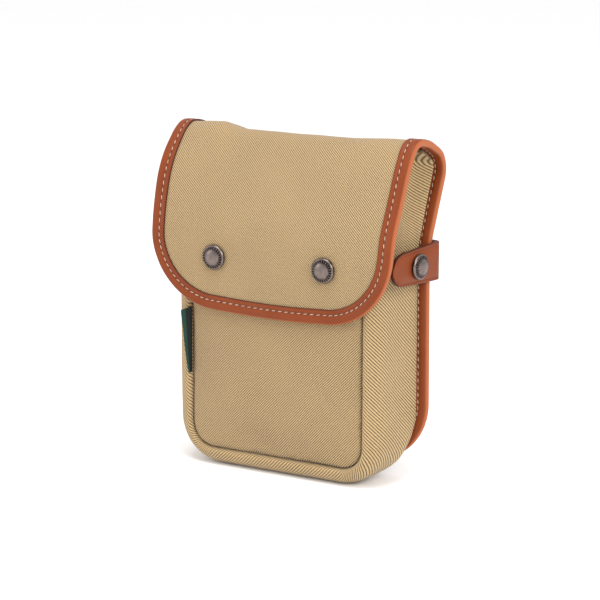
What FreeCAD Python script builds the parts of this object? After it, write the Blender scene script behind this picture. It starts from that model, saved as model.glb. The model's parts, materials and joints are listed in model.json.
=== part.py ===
import FreeCAD, Part
import math
import os
from FreeCAD import Placement, Rotation, Vector

# Belt pouch for small binoculars: one canvas sheet makes the back, the top and the front flap,
# and a U-shaped gusset joins it to the front panel.
# +Z is up, -Y is the front, X runs left to right, and the origin is on the ground under the middle.

doc = FreeCAD.newDocument("HarnessPack")
sheet = doc.addObject("Spreadsheet::Sheet", "Dimensions")

DRIVING_DIMENSIONS = [
    ("sheet_half_width", 81.5, "middle of the sheet to the outer edge of its binding"),
    ("canvas_thickness", 2.4, "laminated twill of the back, top and flap"),
    ("rim_thickness", 4.4, "canvas with leather on both faces"),
    ("binding_width", 9.0, "leather seen on each face"),
    ("binding_edge", 1.2, "leather that wraps past the canvas edge"),
    ("back_bottom", 7.5, "height of the back panel's lower edge"),
    ("back_corner_radius", 33.0, "lower corners of the back panel"),
    ("flap_bottom", 95.2, "height of the flap's lower edge in the middle"),
    ("flap_corner_rise", 3.6, "how far the flap's lower edge climbs to its corners"),
    ("flap_corner_radius", 44.0, "lower corners of the flap"),
    ("back_plane", 13.0, "middle of the back panel's thickness"),
    ("flap_plane", -29.2, "middle of the flap's thickness"),
    ("gusset_wall", 1.8, "canvas and lining of the gusset"),
    ("mouth_height", 148.0, "front lip of the pouch"),
    ("gusset_top", 176.0, "highest point of the gusset"),
    ("front_half_width", 58.4, "front panel, seam to seam, halved"),
    ("front_bottom", 10.0, "lower seam of the front panel"),
    ("front_corner_radius", 16.0, "lower corners of the front panel"),
    ("front_face", -22.9, "outer face of the front panel at the studs"),
    ("front_thickness", 2.2, "front panel canvas"),
    ("front_crown_radius", 1.8, "rolled edge of the front panel"),
    ("foam_thickness", 2.5, "foam sheets in the front and back"),
    ("base_foam_thickness", 4.0, "foam board in the base"),
    ("lining_half_width", 61.0, "lining tub"),
    ("lining_wall", 0.8, "lining cloth"),
    ("flap_snap_spacing", 37.0, "middle of the flap to a snap"),
    ("flap_snap_height", 129.2, "height of the flap snaps"),
    ("cap_diameter", 15.0, "domed snap cap"),
    ("cap_height", 3.6, "dome above the leather or canvas"),
    ("barrel_diameter", 3.6, "tube that joins a snap's two halves"),
    ("barrel_hole", 4.4, "hole punched for the tube"),
    ("socket_diameter", 12.0, "spring socket"),
    ("socket_height", 3.0, "spring socket"),
    ("strap_thickness", 2.6, "side strap leather"),
    ("strap_root_width", 21.6, "side strap at the back edge"),
    ("strap_tip_width", 18.4, "side strap before its round tip"),
    ("strap_height", 131.5, "height of the side straps' middle line"),
    ("strap_lean", 6.0, "degrees the strap leans in towards the front"),
    ("strap_plane", 84.1, "middle of the strap beside the back edge"),
    ("side_snap_reach", -2.4, "side snap along Y"),
    ("strap_tip_reach", -26.6, "end of the side strap along Y"),
    ("strap_anchor_inner", 44.0, "inner end of the strap on the back"),
    ("strap_back_plane", 20.5, "middle of the strap where it clears the binding"),
    ("strap_seat_plane", 17.8, "middle of the strap where it lies on the back panel"),
    ("loop_width", 46.0, "belt loop"),
    ("loop_thickness", 2.0, "belt loop leather"),
    ("loop_bottom", 34.0, "lower end of the belt loop"),
    ("loop_top", 112.0, "upper end of the belt loop"),
    ("loop_gap", 5.6, "room for a belt behind the loop"),
    ("label_height", 40.0, "green tab"),
    ("label_bottom", 57.0, "lower end of the green tab"),
    ("label_reach", 8.6, "how far the tab stands out of the seam"),
]

for row, (alias, value, note) in enumerate(DRIVING_DIMENSIONS, start=1):
    sheet.set("A%d" % row, alias.replace("_", " "))
    sheet.set("B%d" % row, str(value))
    sheet.setAlias("B%d" % row, alias)
    sheet.set("C%d" % row, note)
doc.recompute()

nodes = {}
BEYOND = 150.0


def size(alias):
    return float(sheet.get(alias))


# ---- Sketching helpers ----

def new_body(name):
    body = doc.addObject("PartDesign::Body", name)
    body.Label = name
    return body


def keep(item, name):
    item.Label = name
    nodes[name] = item
    return item


def new_sketch(body, name, role, offset=0.0):
    """A sketch on one of the body's own origin planes, moved along the plane's normal."""
    plane = next(f for f in body.Origin.OriginFeatures if f.Role == role)
    sketch = body.newObject("Sketcher::SketchObject", name)
    sketch.AttachmentSupport = [(plane, "")]
    sketch.MapMode = "FlatFace"
    sketch.AttachmentOffset = Placement(Vector(0, 0, offset), Rotation())
    return sketch


def rounded_outline(corners, closed=True):
    """Lines and tangent arcs through corners given as (x, y, radius)."""
    count = len(corners)
    starts, ends, middles = [], [], []
    for i, (x, y, radius) in enumerate(corners):
        here = Vector(x, y, 0)
        at_end = not closed and i in (0, count - 1)
        if radius <= 0 or at_end:
            starts.append(here)
            ends.append(here)
            middles.append(None)
            continue
        before = Vector(*corners[i - 1][:2], 0) - here
        after = Vector(*corners[(i + 1) % count][:2], 0) - here
        before.normalize()
        after.normalize()
        half_angle = before.getAngle(after) / 2.0
        reach = radius / math.tan(half_angle)
        inward = before + after
        inward.normalize()
        centre = here + inward * (radius / math.sin(half_angle))
        starts.append(here + before * reach)
        ends.append(here + after * reach)
        middles.append(centre - inward * radius)
    edges = []
    for i in range(count):
        if middles[i] is not None:
            edges.append(Part.Arc(starts[i], middles[i], ends[i]))
        if i == count - 1 and not closed:
            break
        following = starts[(i + 1) % count]
        if (following - ends[i]).Length > 1e-6:
            edges.append(Part.LineSegment(ends[i], following))
    return edges


def draw(sketch, corners):
    for edge in rounded_outline(corners):
        sketch.addGeometry(edge, False)


def box_corners(x0, x1, y0, y1, radius=0.0):
    return [(x0, y0, radius), (x1, y0, radius), (x1, y1, radius), (x0, y1, radius)]


def offset_path(path, distance):
    """The path moved sideways to its left, with the radii of its bends kept concentric."""
    moved = []
    last = len(path) - 1
    for i, (x, y, radius) in enumerate(path):
        here = Vector(x, y, 0)
        normals = []
        if i > 0:
            run = here - Vector(*path[i - 1][:2], 0)
            run.normalize()
            normals.append(Vector(-run.y, run.x, 0))
        if i < last:
            run = Vector(*path[i + 1][:2], 0) - here
            run.normalize()
            normals.append(Vector(-run.y, run.x, 0))
        mitre = normals[0] + normals[-1]
        mitre.normalize()
        stretch = distance / mitre.dot(normals[0])
        point = here + mitre * stretch
        turn = 0.0
        if len(normals) == 2:
            turn = normals[0].cross(normals[1]).z
        new_radius = radius - distance if turn > 0 else radius + distance
        moved.append((point.x, point.y, new_radius if radius > 0 else 0.0))
    return moved


def band(path, thickness):
    """Closed outline of a strip that follows the path."""
    left = offset_path(path, thickness / 2.0)
    right = offset_path(path, -thickness / 2.0)
    return left + right[::-1]


def pad(body, sketch, length, expression=None):
    feature = body.newObject("PartDesign::Pad", "Pad")
    feature.Profile = sketch
    feature.Length = length
    if expression:
        feature.setExpression("Length", expression)
    sketch.Visibility = False
    doc.recompute()
    return feature


def pocket(body, sketch, length):
    """A cut against the sketch's normal; it has to take material away."""
    before = body.Shape.Volume
    feature = body.newObject("PartDesign::Pocket", "Pocket")
    feature.Profile = sketch
    feature.Length = length
    sketch.Visibility = False
    doc.recompute()
    if body.Shape.Volume > before - 1e-6:
        raise RuntimeError("a pocket of %s cuts nothing" % body.Label)
    return feature


def pocket_front(body, *outlines):
    """Cuts the outlines, drawn on XZ, from front to back."""
    sketch = new_sketch(body, "FrontCut", "XZ_Plane", BEYOND)
    for corners in outlines:
        draw(sketch, corners)
    return pocket(body, sketch, 2 * BEYOND)


def pocket_side(body, *outlines):
    """Cuts the outlines, drawn on YZ, from right to left."""
    sketch = new_sketch(body, "SideCut", "YZ_Plane", BEYOND)
    for corners in outlines:
        draw(sketch, corners)
    return pocket(body, sketch, 2 * BEYOND)


def punch(body, role, x, y, diameter_alias, offset=BEYOND, length=2 * BEYOND):
    """A round hole square to an origin plane."""
    sketch = new_sketch(body, "Hole", role, offset)
    sketch.addGeometry(Part.Circle(Vector(x, y, 0), Vector(0, 0, 1), size(diameter_alias) / 2.0), False)
    return pocket(body, sketch, length)


# ---- The long sheet: its line seen from the side ----
# It climbs the back, leans out to the rear corner of the top loop, crosses to the crest,
# comes down the slope and hangs as the flap. Points are (Y, Z, bend radius).

BACK_BEND = (size("back_plane"), 138.0, 42.0)
REAR_CORNER = (34.6, 189.2, 8.0)
CREST = (-2.7, 203.4, 10.0)
FLAP_BEND = (size("flap_plane"), 147.0, 45.0)
REAR_CUT_RUN = 10.0
FRONT_CUT_HEIGHT = 180.0
HINGE_PROUD = 0.2


def along(start, end, distance):
    run = Vector(end[0] - start[0], end[1] - start[1], 0)
    run.normalize()
    return (start[0] + run.x * distance, start[1] + run.y * distance, 0.0)


def sheet_cuts():
    """Where the flap top meets the back panel, and where it meets the hanging flap."""
    rear = along(REAR_CORNER, CREST, REAR_CUT_RUN)
    rise = (FRONT_CUT_HEIGHT - FLAP_BEND[1]) / (CREST[1] - FLAP_BEND[1])
    front_y = FLAP_BEND[0] + rise * (CREST[0] - FLAP_BEND[0])
    return rear, (front_y, FRONT_CUT_HEIGHT, 0.0)


rear_cut, front_cut = sheet_cuts()
BACK_PATH = [(size("back_plane"), size("back_bottom"), 0.0), BACK_BEND, REAR_CORNER, rear_cut]
TOP_PATH = [rear_cut, CREST, front_cut]
FLAP_PATH = [front_cut, FLAP_BEND, (size("flap_plane"), size("flap_bottom"), 0.0)]


def hinge_point(cut, before, after):
    """The fold line lies just outside the leather, on the sheet's outer face."""
    run = Vector(after[0] - before[0], after[1] - before[1], 0)
    run.normalize()
    reach = size("rim_thickness") / 2.0 + HINGE_PROUD
    return (cut[0] - run.y * reach, cut[1] + run.x * reach)


def back_outline(inset):
    """Back panel seen from the front, with its round lower corners."""
    half = size("sheet_half_width") - inset
    radius = size("back_corner_radius") - inset
    bottom = size("back_bottom") + inset
    return [(-half, bottom, radius), (half, bottom, radius), (half, 300.0, 0.0), (-half, 300.0, 0.0)]


def flap_outline(inset):
    """Flap seen from the front: round corners and a lower edge that bows down."""
    half = size("sheet_half_width") - inset
    radius = size("flap_corner_radius") - inset
    bottom = size("flap_bottom") + inset
    corner = bottom + size("flap_corner_rise")
    bow_radius = 600.0
    return [
        (-half, corner, radius), (0.0, bottom, bow_radius), (half, corner, radius),
        (half, 300.0, 0.0), (-half, 300.0, 0.0),
    ]


def frame_corners():
    return box_corners(-BEYOND, BEYOND, -50.0, 320.0)


def strip(name, path, thickness, half_width):
    """A strip of the sheet, full width, with square ends."""
    body = new_body(name)
    sketch = new_sketch(body, "Profile", "YZ_Plane", -half_width)
    draw(sketch, band(path, thickness))
    pad(body, sketch, 2 * half_width)
    return body


def edged_panel(name, path, outline):
    inset = size("binding_edge")
    body = strip(name, path, size("canvas_thickness"), size("sheet_half_width") - inset)
    pocket_front(body, frame_corners(), outline(inset))
    return keep(body, name)


def edged_binding(name, path, outline, panel):
    """Leather folded over the panel's edge: a channel with the canvas in its slot."""
    blank = strip(name + "_blank", path, size("rim_thickness"), size("sheet_half_width"))
    pocket_front(blank, frame_corners(), outline(0.0))
    pocket_front(blank, outline(size("binding_width")))
    cut = doc.addObject("Part::Cut", name)
    cut.Base = blank
    cut.Tool = panel
    doc.recompute()
    return keep(cut, name)


def side_binding(name, path, panel, side):
    """A straight length of the binding on one edge of the flap top."""
    width = size("binding_width")
    half = size("sheet_half_width")
    blank = new_body(name + "_blank")
    sketch = new_sketch(blank, "Profile", "YZ_Plane", half - width if side > 0 else -half)
    draw(sketch, band(path, size("rim_thickness")))
    pad(blank, sketch, width, "Dimensions.binding_width")
    cut = doc.addObject("Part::Cut", name)
    cut.Base = blank
    cut.Tool = panel
    doc.recompute()
    return keep(cut, name)


back_panel = edged_panel("back_panel", BACK_PATH, back_outline)
edged_binding("back_binding", BACK_PATH, back_outline, back_panel)

top_body = strip("flap_top_panel", TOP_PATH, size("canvas_thickness"),
                 size("sheet_half_width") - size("binding_edge"))
keep(top_body, "flap_top_panel")
side_binding("flap_top_binding_left", TOP_PATH, top_body, -1)
side_binding("flap_top_binding_right", TOP_PATH, top_body, 1)

flap_panel = edged_panel("flap_front_panel", FLAP_PATH, flap_outline)
edged_binding("flap_front_binding", FLAP_PATH, flap_outline, flap_panel)
for snap_side in (-1, 1):
    punch(flap_panel, "XZ_Plane", snap_side * size("flap_snap_spacing"), size("flap_snap_height"),
          "barrel_hole")


# ---- Flap facing: a canvas strip behind the flap that backs its sockets ----

FACING_THICKNESS = 0.9


def flap_facing():
    body = new_body("flap_facing")
    face = size("flap_plane") + size("canvas_thickness") / 2.0
    sketch = new_sketch(body, "Outline", "XZ_Plane", -face - FACING_THICKNESS)
    half = size("flap_snap_spacing") + 14.0
    middle = size("flap_snap_height")
    draw(sketch, box_corners(-half, half, middle - 13.0, middle + 7.4, 7.0))
    pad(body, sketch, FACING_THICKNESS)
    for side in (-1, 1):
        punch(body, "XZ_Plane", side * size("flap_snap_spacing"), middle, "barrel_hole")
    return keep(body, "flap_facing")


flap_facing()


# ---- Gusset: one strip of canvas for both sides and the base ----
# Sections run from the back seam to the front seam: (Y, half width, bottom, corner radius).

GUSSET_SECTIONS = [
    (10.5, 76.0, 13.0, 27.0),
    (8.8, 75.0, 5.0, 30.0),
    (5.0, 73.5, -0.3, 32.0),
    (-14.0, 71.5, -0.3, 30.0),
    (-20.3, 67.5, 2.5, 25.0),
    (-23.3, 60.4, 8.2, 17.5),
]


def gusset_section(body, index, section, inset):
    y, half, bottom, radius = section
    top = size("gusset_top") + 20.0 * (inset > 0)
    sketch = new_sketch(body, "Section%d" % index, "XZ_Plane", -y)
    half -= inset
    radius -= inset
    draw(sketch, [
        (-half, bottom + inset, radius), (half, bottom + inset, radius),
        (half, top, 0.0), (-half, top, 0.0),
    ])
    return sketch


GUSSET_TO_STRAP = 9.3


def gusset():
    body = new_body("gusset")
    for kind, inset in (("PartDesign::AdditiveLoft", 0.0), ("PartDesign::SubtractiveLoft", size("gusset_wall"))):
        sections = list(GUSSET_SECTIONS)
        if inset > 0:
            first = (sections[0][0] + 1.0,) + sections[0][1:]
            last = (sections[-1][0] - 1.0,) + sections[-1][1:]
            sections = [first] + sections[1:-1] + [last]
        sketches = [gusset_section(body, i, s, inset) for i, s in enumerate(sections)]
        loft = body.newObject(kind, "Loft")
        loft.Profile = sketches[0]
        loft.Sections = sketches[1:]
        loft.Ruled = True
        doc.recompute()
    top = size("gusset_top")
    lip = size("mouth_height")
    slope_run = (top - lip) * (CREST[0] - FLAP_BEND[0]) / (CREST[1] - FLAP_BEND[1])
    front = -23.8
    pocket_side(body, box_corners(-40.0, 40.0, -10.0, 0.0))
    pocket_side(body, [
        (front - 10.0, lip, 0.0), (front, lip, 0.0), (front + slope_run, top, 0.0),
        (front + slope_run, top + 60.0, 0.0), (front - 10.0, top + 60.0, 0.0),
    ])
    for side in (-1, 1):
        gusset_wing(body, side)
    drift = GUSSET_TO_STRAP * math.sin(math.radians(size("strap_lean")))
    punch(body, "YZ_Plane", size("side_snap_reach") + drift, size("strap_height"), "barrel_hole")
    return keep(body, "gusset")


def gusset_wing(body, side):
    """The upper corner of a side, cut to follow the back panel where it leans away."""
    outer = 75.0
    inner = outer - size("gusset_wall")
    sketch = new_sketch(body, "Wing", "YZ_Plane", inner if side > 0 else -outer)
    draw(sketch, [
        (6.0, 120.0, 0.0), (10.4, 120.0, 0.0), (10.4, 132.0, 20.0), (11.6, 141.0, 20.0),
        (24.2, 172.0, 4.0), (6.0, 172.0, 0.0),
    ])
    return pad(body, sketch, size("gusset_wall"), "Dimensions.gusset_wall")


def gusset_half_at(y):
    """Half width of the gusset beside the studs, between its two middle sections."""
    back = GUSSET_SECTIONS[2]
    front = GUSSET_SECTIONS[3]
    share = (y - front[0]) / (back[0] - front[0])
    return front[1] + share * (back[1] - front[1])


gusset()


# ---- Front panel: canvas set inside the front seam ----

def front_panel():
    body = new_body("front_panel")
    back = size("front_face") + size("front_thickness")
    sketch = new_sketch(body, "Outline", "XZ_Plane", -back)
    half = size("front_half_width")
    radius = size("front_corner_radius")
    bottom = size("front_bottom")
    top = size("mouth_height") - 2.0
    draw(sketch, [(-half, bottom, radius), (half, bottom, radius), (half, top, 0.0), (-half, top, 0.0)])
    block = pad(body, sketch, size("front_thickness"), "Dimensions.front_thickness")
    face = size("front_face")
    rim = [
        "Edge%d" % (i + 1) for i, edge in enumerate(body.Shape.Edges)
        if all(abs(v.Y - face) < 1e-4 for v in edge.Vertexes) and min(v.Z for v in edge.Vertexes) < top - 1.0
    ]
    fillet = body.newObject("PartDesign::Fillet", "RolledEdge")
    fillet.Base = (block, rim)
    fillet.Radius = size("front_crown_radius")
    fillet.setExpression("Radius", "Dimensions.front_crown_radius")
    doc.recompute()
    for side in (-1, 1):
        punch(body, "XZ_Plane", side * size("flap_snap_spacing"), size("flap_snap_height"), "barrel_hole")
    return keep(body, "front_panel")


front_panel()


# ---- Inside: mouth tape, foam and lining ----

def plate(name, role, offset, corners, length, expression=None):
    body = new_body(name)
    sketch = new_sketch(body, "Outline", role, offset)
    draw(sketch, corners)
    pad(body, sketch, length, expression)
    return keep(body, name)


def mouth_tape():
    """Tape folded over the front lip."""
    body = new_body("mouth_tape")
    lip = size("mouth_height")
    face = size("front_face") - 0.5
    back = size("front_face") + size("front_thickness") + 0.5
    half = size("front_half_width")
    sketch = new_sketch(body, "Fold", "YZ_Plane", -half)
    draw(sketch, [
        (face, lip - 10.0, 0.0), (face + 0.45, lip - 10.0, 0.0), (face + 0.45, lip - 1.9, 0.0),
        (back - 0.45, lip - 1.9, 0.0), (back - 0.45, lip - 10.0, 0.0), (back, lip - 10.0, 0.0),
        (back, lip, 1.2), (face, lip, 1.2),
    ])
    pad(body, sketch, 2 * half)
    return keep(body, "mouth_tape")


def lining():
    """Cloth tub that the binoculars rest in, open at the mouth."""
    body = new_body("lining")
    front = LINING_FRONT
    back = LINING_BACK
    half = size("lining_half_width")
    bottom = LINING_BOTTOM
    top = size("mouth_height")
    sketch = new_sketch(body, "Outer", "XZ_Plane", -back)
    draw(sketch, [(-half, bottom, 22.0), (half, bottom, 22.0), (half, top, 0.0), (-half, top, 0.0)])
    pad(body, sketch, back - front)
    wall = size("lining_wall")
    cavity = new_sketch(body, "Inner", "XZ_Plane", -front - wall)
    cavity_top = top + 10.0
    draw(cavity, [
        (-half + wall, bottom + wall, 22.0 - wall), (half - wall, bottom + wall, 22.0 - wall),
        (half - wall, cavity_top, 0.0), (-half + wall, cavity_top, 0.0),
    ])
    pocket(body, cavity, back - front - 2 * wall)
    return keep(body, "lining")


LINING_FRONT = -16.7
LINING_BACK = 7.6
LINING_BOTTOM = 6.0
mouth_tape()
lining()
plate("front_foam", "XZ_Plane", -LINING_FRONT + 0.1,
      [(-54.0, 14.0, 20.0), (54.0, 14.0, 20.0), (54.0, 136.0, 0.0), (-54.0, 136.0, 0.0)],
      size("foam_thickness"), "Dimensions.foam_thickness")
plate("back_foam", "XZ_Plane", -LINING_BACK - 0.1 - size("foam_thickness"),
      [(-62.0, 18.0, 22.0), (62.0, 18.0, 22.0), (62.0, 150.0, 0.0), (-62.0, 150.0, 0.0)],
      size("foam_thickness"), "Dimensions.foam_thickness")
plate("base_foam", "XY_Plane", LINING_BOTTOM - 0.1 - 4.0,
      box_corners(-38.0, 38.0, -13.5, 4.5, 6.0), size("base_foam_thickness"),
      "Dimensions.base_foam_thickness")


# ---- Snap fasteners, each turned about its own axis with the outside upwards ----

def turned(name, outline, place):
    body = new_body(name)
    sketch = new_sketch(body, "Profile", "XZ_Plane")
    draw(sketch, outline)
    revolve = body.newObject("PartDesign::Revolution", "Turning")
    revolve.Profile = sketch
    revolve.ReferenceAxis = (sketch, ["V_Axis"])
    revolve.Angle = 360.0
    sketch.Visibility = False
    doc.recompute()
    body.Placement = place
    return keep(body, name)


DOME_STEPS = (0.88, 0.6)


def cap_outline(barrel_length):
    """Domed cap with a rolled rim, and the barrel that goes through the material."""
    radius = size("cap_diameter") / 2.0
    height = size("cap_height")
    barrel = size("barrel_diameter") / 2.0
    outline = [
        (0.0, -barrel_length, 0.0), (barrel, -barrel_length, 0.0), (barrel, 0.0, 0.0),
        (radius, 0.0, 0.0), (radius, 1.2, 0.0),
    ]
    for share in DOME_STEPS:
        rise = 1.2 + (height - 1.2) * math.sqrt(1.0 - share * share)
        outline.append((radius * share, rise, 0.0))
    return outline + [(0.0, height, 0.0)]


def socket_outline():
    """Spring socket: a cup with a hollow for the stud's head, its mouth at z = 0."""
    radius = size("socket_diameter") / 2.0
    height = size("socket_height")
    hollow = 4.0
    floor = 0.5
    return [
        (0.0, height - floor, 0.0), (hollow, height - floor, 0.0), (hollow, 0.0, 0.0),
        (radius - 0.8, 0.0, 0.0), (radius, height, 0.0), (0.0, height, 0.0),
    ]


def stud_outline(base_thickness, length):
    """Stud with a flat base, a neck and a rolled head."""
    base = 5.4
    neck = 2.5
    head = 3.2
    return [
        (0.0, 0.0, 0.0), (base, 0.0, 0.0), (base, base_thickness, 0.0), (neck, base_thickness, 0.0),
        (neck, length - 1.8, 0.0), (head, length - 1.2, 0.0), (head - 0.4, length, 0.0),
        (0.0, length, 0.0),
    ]


def post_outline(length):
    """Post: a washer inside and a tube through the cloth."""
    washer = 5.2
    tube = size("barrel_diameter") / 2.0
    return [
        (0.0, -0.8, 0.0), (washer, -0.8, 0.0), (washer, 0.0, 0.0), (tube, 0.0, 0.0),
        (tube, length, 0.0), (0.0, length, 0.0),
    ]


def facing_out(point, direction):
    """Placement that turns a fastener's own +Z to the given direction."""
    return Placement(Vector(*point), Rotation(Vector(0, 0, 1), Vector(*direction)))


FORWARD = (0.0, -1.0, 0.0)
SIDES = (("left", -1), ("right", 1))
STUD_CLEARANCE = 0.3


def flap_snap(word, side):
    x = side * size("flap_snap_spacing")
    z = size("flap_snap_height")
    outer = size("flap_plane") - size("canvas_thickness") / 2.0
    inner = size("flap_plane") + size("canvas_thickness") / 2.0 + FACING_THICKNESS
    mouth = inner + size("socket_height")
    turned("flap_snap_cap_" + word, cap_outline(inner - outer), facing_out((x, outer, z), FORWARD))
    turned("flap_snap_socket_" + word, socket_outline(), facing_out((x, mouth, z), FORWARD))
    face = size("front_face")
    stud_length = face - inner - 0.5 - STUD_CLEARANCE
    turned("front_stud_" + word, stud_outline(0.8, stud_length), facing_out((x, face, z), FORWARD))
    inside = face + size("front_thickness")
    turned("front_post_" + word, post_outline(size("front_thickness")),
           facing_out((x, inside, z), FORWARD))


for word, side in SIDES:
    flap_snap(word, side)


# ---- Side straps: leather, from the back panel round its edge and forward to a snap ----

def strap_path(side):
    """Plan of a strap, seen from above: along the back, over the binding, round and forward."""
    lean = math.radians(size("strap_lean"))
    plane = size("strap_plane")
    turn = (side * plane, size("strap_back_plane"), 3.0)
    cut_y = STRAP_CUT_Y
    tip_y = size("strap_tip_reach")
    cut_x = plane - math.tan(lean) * (size("strap_back_plane") - cut_y)
    tip_x = plane - math.tan(lean) * (size("strap_back_plane") - tip_y)
    seat = size("strap_seat_plane")
    anchor = [
        (side * size("strap_anchor_inner"), seat, 0.0), (side * STRAP_STEP_START, seat, STRAP_STEP_BEND),
        (side * STRAP_STEP_END, size("strap_back_plane"), STRAP_STEP_BEND), turn,
        (side * cut_x, cut_y, 0.0),
    ]
    return anchor, (side * tip_x, tip_y, 0.0)


STRAP_CUT_Y = 10.5
STRAP_STEP_START = 62.0
STRAP_STEP_END = 71.0
STRAP_STEP_BEND = 4.0


def strap_at(side, y):
    """X of the strap's middle at a place along its side run."""
    lean = math.radians(size("strap_lean"))
    return side * (size("strap_plane") - math.tan(lean) * (size("strap_back_plane") - y))


def strap_outward(side):
    lean = math.radians(size("strap_lean"))
    return (side * math.cos(lean), -math.sin(lean), 0.0)


def strap_anchor(word, side):
    """The part of the strap that is fixed behind the back panel."""
    anchor, tip = strap_path(side)
    body = new_body("strap_anchor_" + word)
    width = size("strap_root_width")
    sketch = new_sketch(body, "Plan", "XY_Plane", size("strap_height") - width / 2.0)
    draw(sketch, band(anchor, size("strap_thickness")))
    pad(body, sketch, width, "Dimensions.strap_root_width")
    return keep(body, "strap_anchor_" + word)


def strap_tab(word, side):
    """The free part of the strap: tapered, with a round tip, punched for its snap."""
    anchor, tip = strap_path(side)
    cut = anchor[-1]
    body = new_body("strap_tab_" + word)
    width = size("strap_root_width")
    middle = size("strap_height")
    sketch = new_sketch(body, "Plan", "XY_Plane", middle - width / 2.0)
    draw(sketch, band([cut, tip], size("strap_thickness")))
    pad(body, sketch, width, "Dimensions.strap_root_width")
    root = width / 2.0
    narrow = size("strap_tip_width") / 2.0
    end = tip[1]
    pocket_side(body, frame_corners(), [
        (cut[1] + 3.0, middle - root, 0.0), (cut[1] + 3.0, middle + root, 0.0),
        (end, middle + narrow, narrow * 0.93), (end, middle - narrow, narrow * 0.93),
    ])
    punch(body, "YZ_Plane", size("side_snap_reach"), middle, "barrel_hole")
    return keep(body, "strap_tab_" + word)


def along_snap(side, distance):
    """A point on the side snap's axis, measured outwards from the strap's middle."""
    out = strap_outward(side)
    y = size("side_snap_reach")
    return (strap_at(side, y) + out[0] * distance, y + out[1] * distance, size("strap_height"))


PATCH_THICKNESS = 1.6
PATCH_DIAMETER = 14.6
SEAT_GAP = 0.25


def side_snap(word, side):
    half = size("strap_thickness") / 2.0
    out = strap_outward(side)
    turned("strap_snap_cap_" + word, cap_outline(size("strap_thickness")),
           facing_out(along_snap(side, half), out))
    mouth = -half - size("socket_height")
    turned("strap_snap_socket_" + word, socket_outline(), facing_out(along_snap(side, mouth), out))
    y = size("side_snap_reach")
    lean = math.radians(size("strap_lean"))
    wall = (gusset_half_at(y) + SEAT_GAP - abs(strap_at(side, y))) / math.cos(lean)
    patch_face = wall + PATCH_THICKNESS
    hole = size("barrel_hole") / 2.0
    rim = PATCH_DIAMETER / 2.0
    patch = [
        (hole, 0.0, 0.0), (rim, 0.0, 0.0), (rim, PATCH_THICKNESS, 0.0), (hole, PATCH_THICKNESS, 0.0),
    ]
    turned("stud_patch_" + word, patch, facing_out(along_snap(side, wall), out))
    stud_length = -half - 0.5 - STUD_CLEARANCE - patch_face
    turned("side_stud_" + word, stud_outline(1.0, stud_length),
           facing_out(along_snap(side, patch_face), out))
    inside = wall - size("gusset_wall") - 2 * SEAT_GAP
    turned("side_post_" + word, post_outline(patch_face - inside),
           facing_out(along_snap(side, inside), out))


for word, side in SIDES:
    strap_anchor(word, side)
    strap_tab(word, side)
    side_snap(word, side)


# ---- Back: belt loop and its rivets ----

def belt_loop():
    """Leather strip fixed at both ends, standing off the back panel for a belt."""
    body = new_body("belt_loop")
    half = size("loop_width") / 2.0
    seat = size("back_plane") + size("canvas_thickness") / 2.0 + size("loop_thickness") / 2.0 + 0.05
    out = seat + size("loop_gap")
    bottom = size("loop_bottom")
    top = size("loop_top")
    sketch = new_sketch(body, "Profile", "YZ_Plane", -half)
    path = [
        (seat, bottom, 0.0), (seat, bottom + 11.0, 3.0), (out, bottom + 16.0, 4.0),
        (out, top - 16.0, 4.0), (seat, top - 11.0, 3.0), (seat, top, 0.0),
    ]
    draw(sketch, band(path, size("loop_thickness")))
    pad(body, sketch, size("loop_width"), "Dimensions.loop_width")
    return keep(body, "belt_loop")


RIVET_RADIUS = 3.5
RIVET_CROWN = 2.4
RIVET_HEIGHT = 1.4
RIVET_INSET = 8.0
RIVET_RISE = 5.5


def loop_rivets():
    """Four round rivet heads, two at each end of the loop."""
    face = size("back_plane") + size("canvas_thickness") / 2.0 + size("loop_thickness") + 0.1
    heads = []
    for side in (-1, 1):
        for z in (size("loop_bottom") + RIVET_RISE, size("loop_top") - RIVET_RISE):
            place = (side * (size("loop_width") / 2.0 - RIVET_INSET), face, z)
            heads.append(Part.makeCone(RIVET_RADIUS, RIVET_CROWN, RIVET_HEIGHT, Vector(*place), Vector(0, 1, 0)))
    rivets = doc.addObject("Part::Feature", "belt_loop_rivets")
    rivets.Shape = Part.makeCompound(heads)
    rivets.Placement = Placement()
    return keep(rivets, "belt_loop_rivets")


belt_loop()
loop_rivets()


# ---- Green label tab in the left front seam ----

LABEL_INSET = 1.4
LABEL_CLEARANCE = 0.9
LABEL_THICKNESS = 1.3
LABEL_CURL = 1.2


def label_tab():
    """A folded tape caught in the seam, lying outwards in front of the gusset's round edge."""
    body = new_body("label_tab")
    reach = size("label_reach")
    sketch = new_sketch(body, "Plan", "XY_Plane", size("label_bottom"))
    root = -size("front_half_width") + LABEL_INSET
    face = size("front_face") - LABEL_CLEARANCE
    forward = face - LABEL_THICKNESS
    tip = root - reach
    draw(sketch, [
        (root, face, 0.0), (root, forward, 0.0), (tip, forward - LABEL_CURL, 0.5),
        (tip, face - LABEL_CURL, 0.5),
    ])
    pad(body, sketch, size("label_height"), "Dimensions.label_height")
    return keep(body, "label_tab")


label_tab()


# ---- Checks, then one file for each sub-part ----

def check_document():
    doc.recompute()
    for item in doc.Objects:
        bad = [word for word in item.State if word in ("Invalid", "Error")]
        if bad:
            raise RuntimeError("%s is %s" % (item.Label, ", ".join(bad)))
    for name, item in nodes.items():
        if item.Shape.isNull() or not item.Shape.isValid():
            raise RuntimeError("%s has no valid shape" % name)


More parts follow.
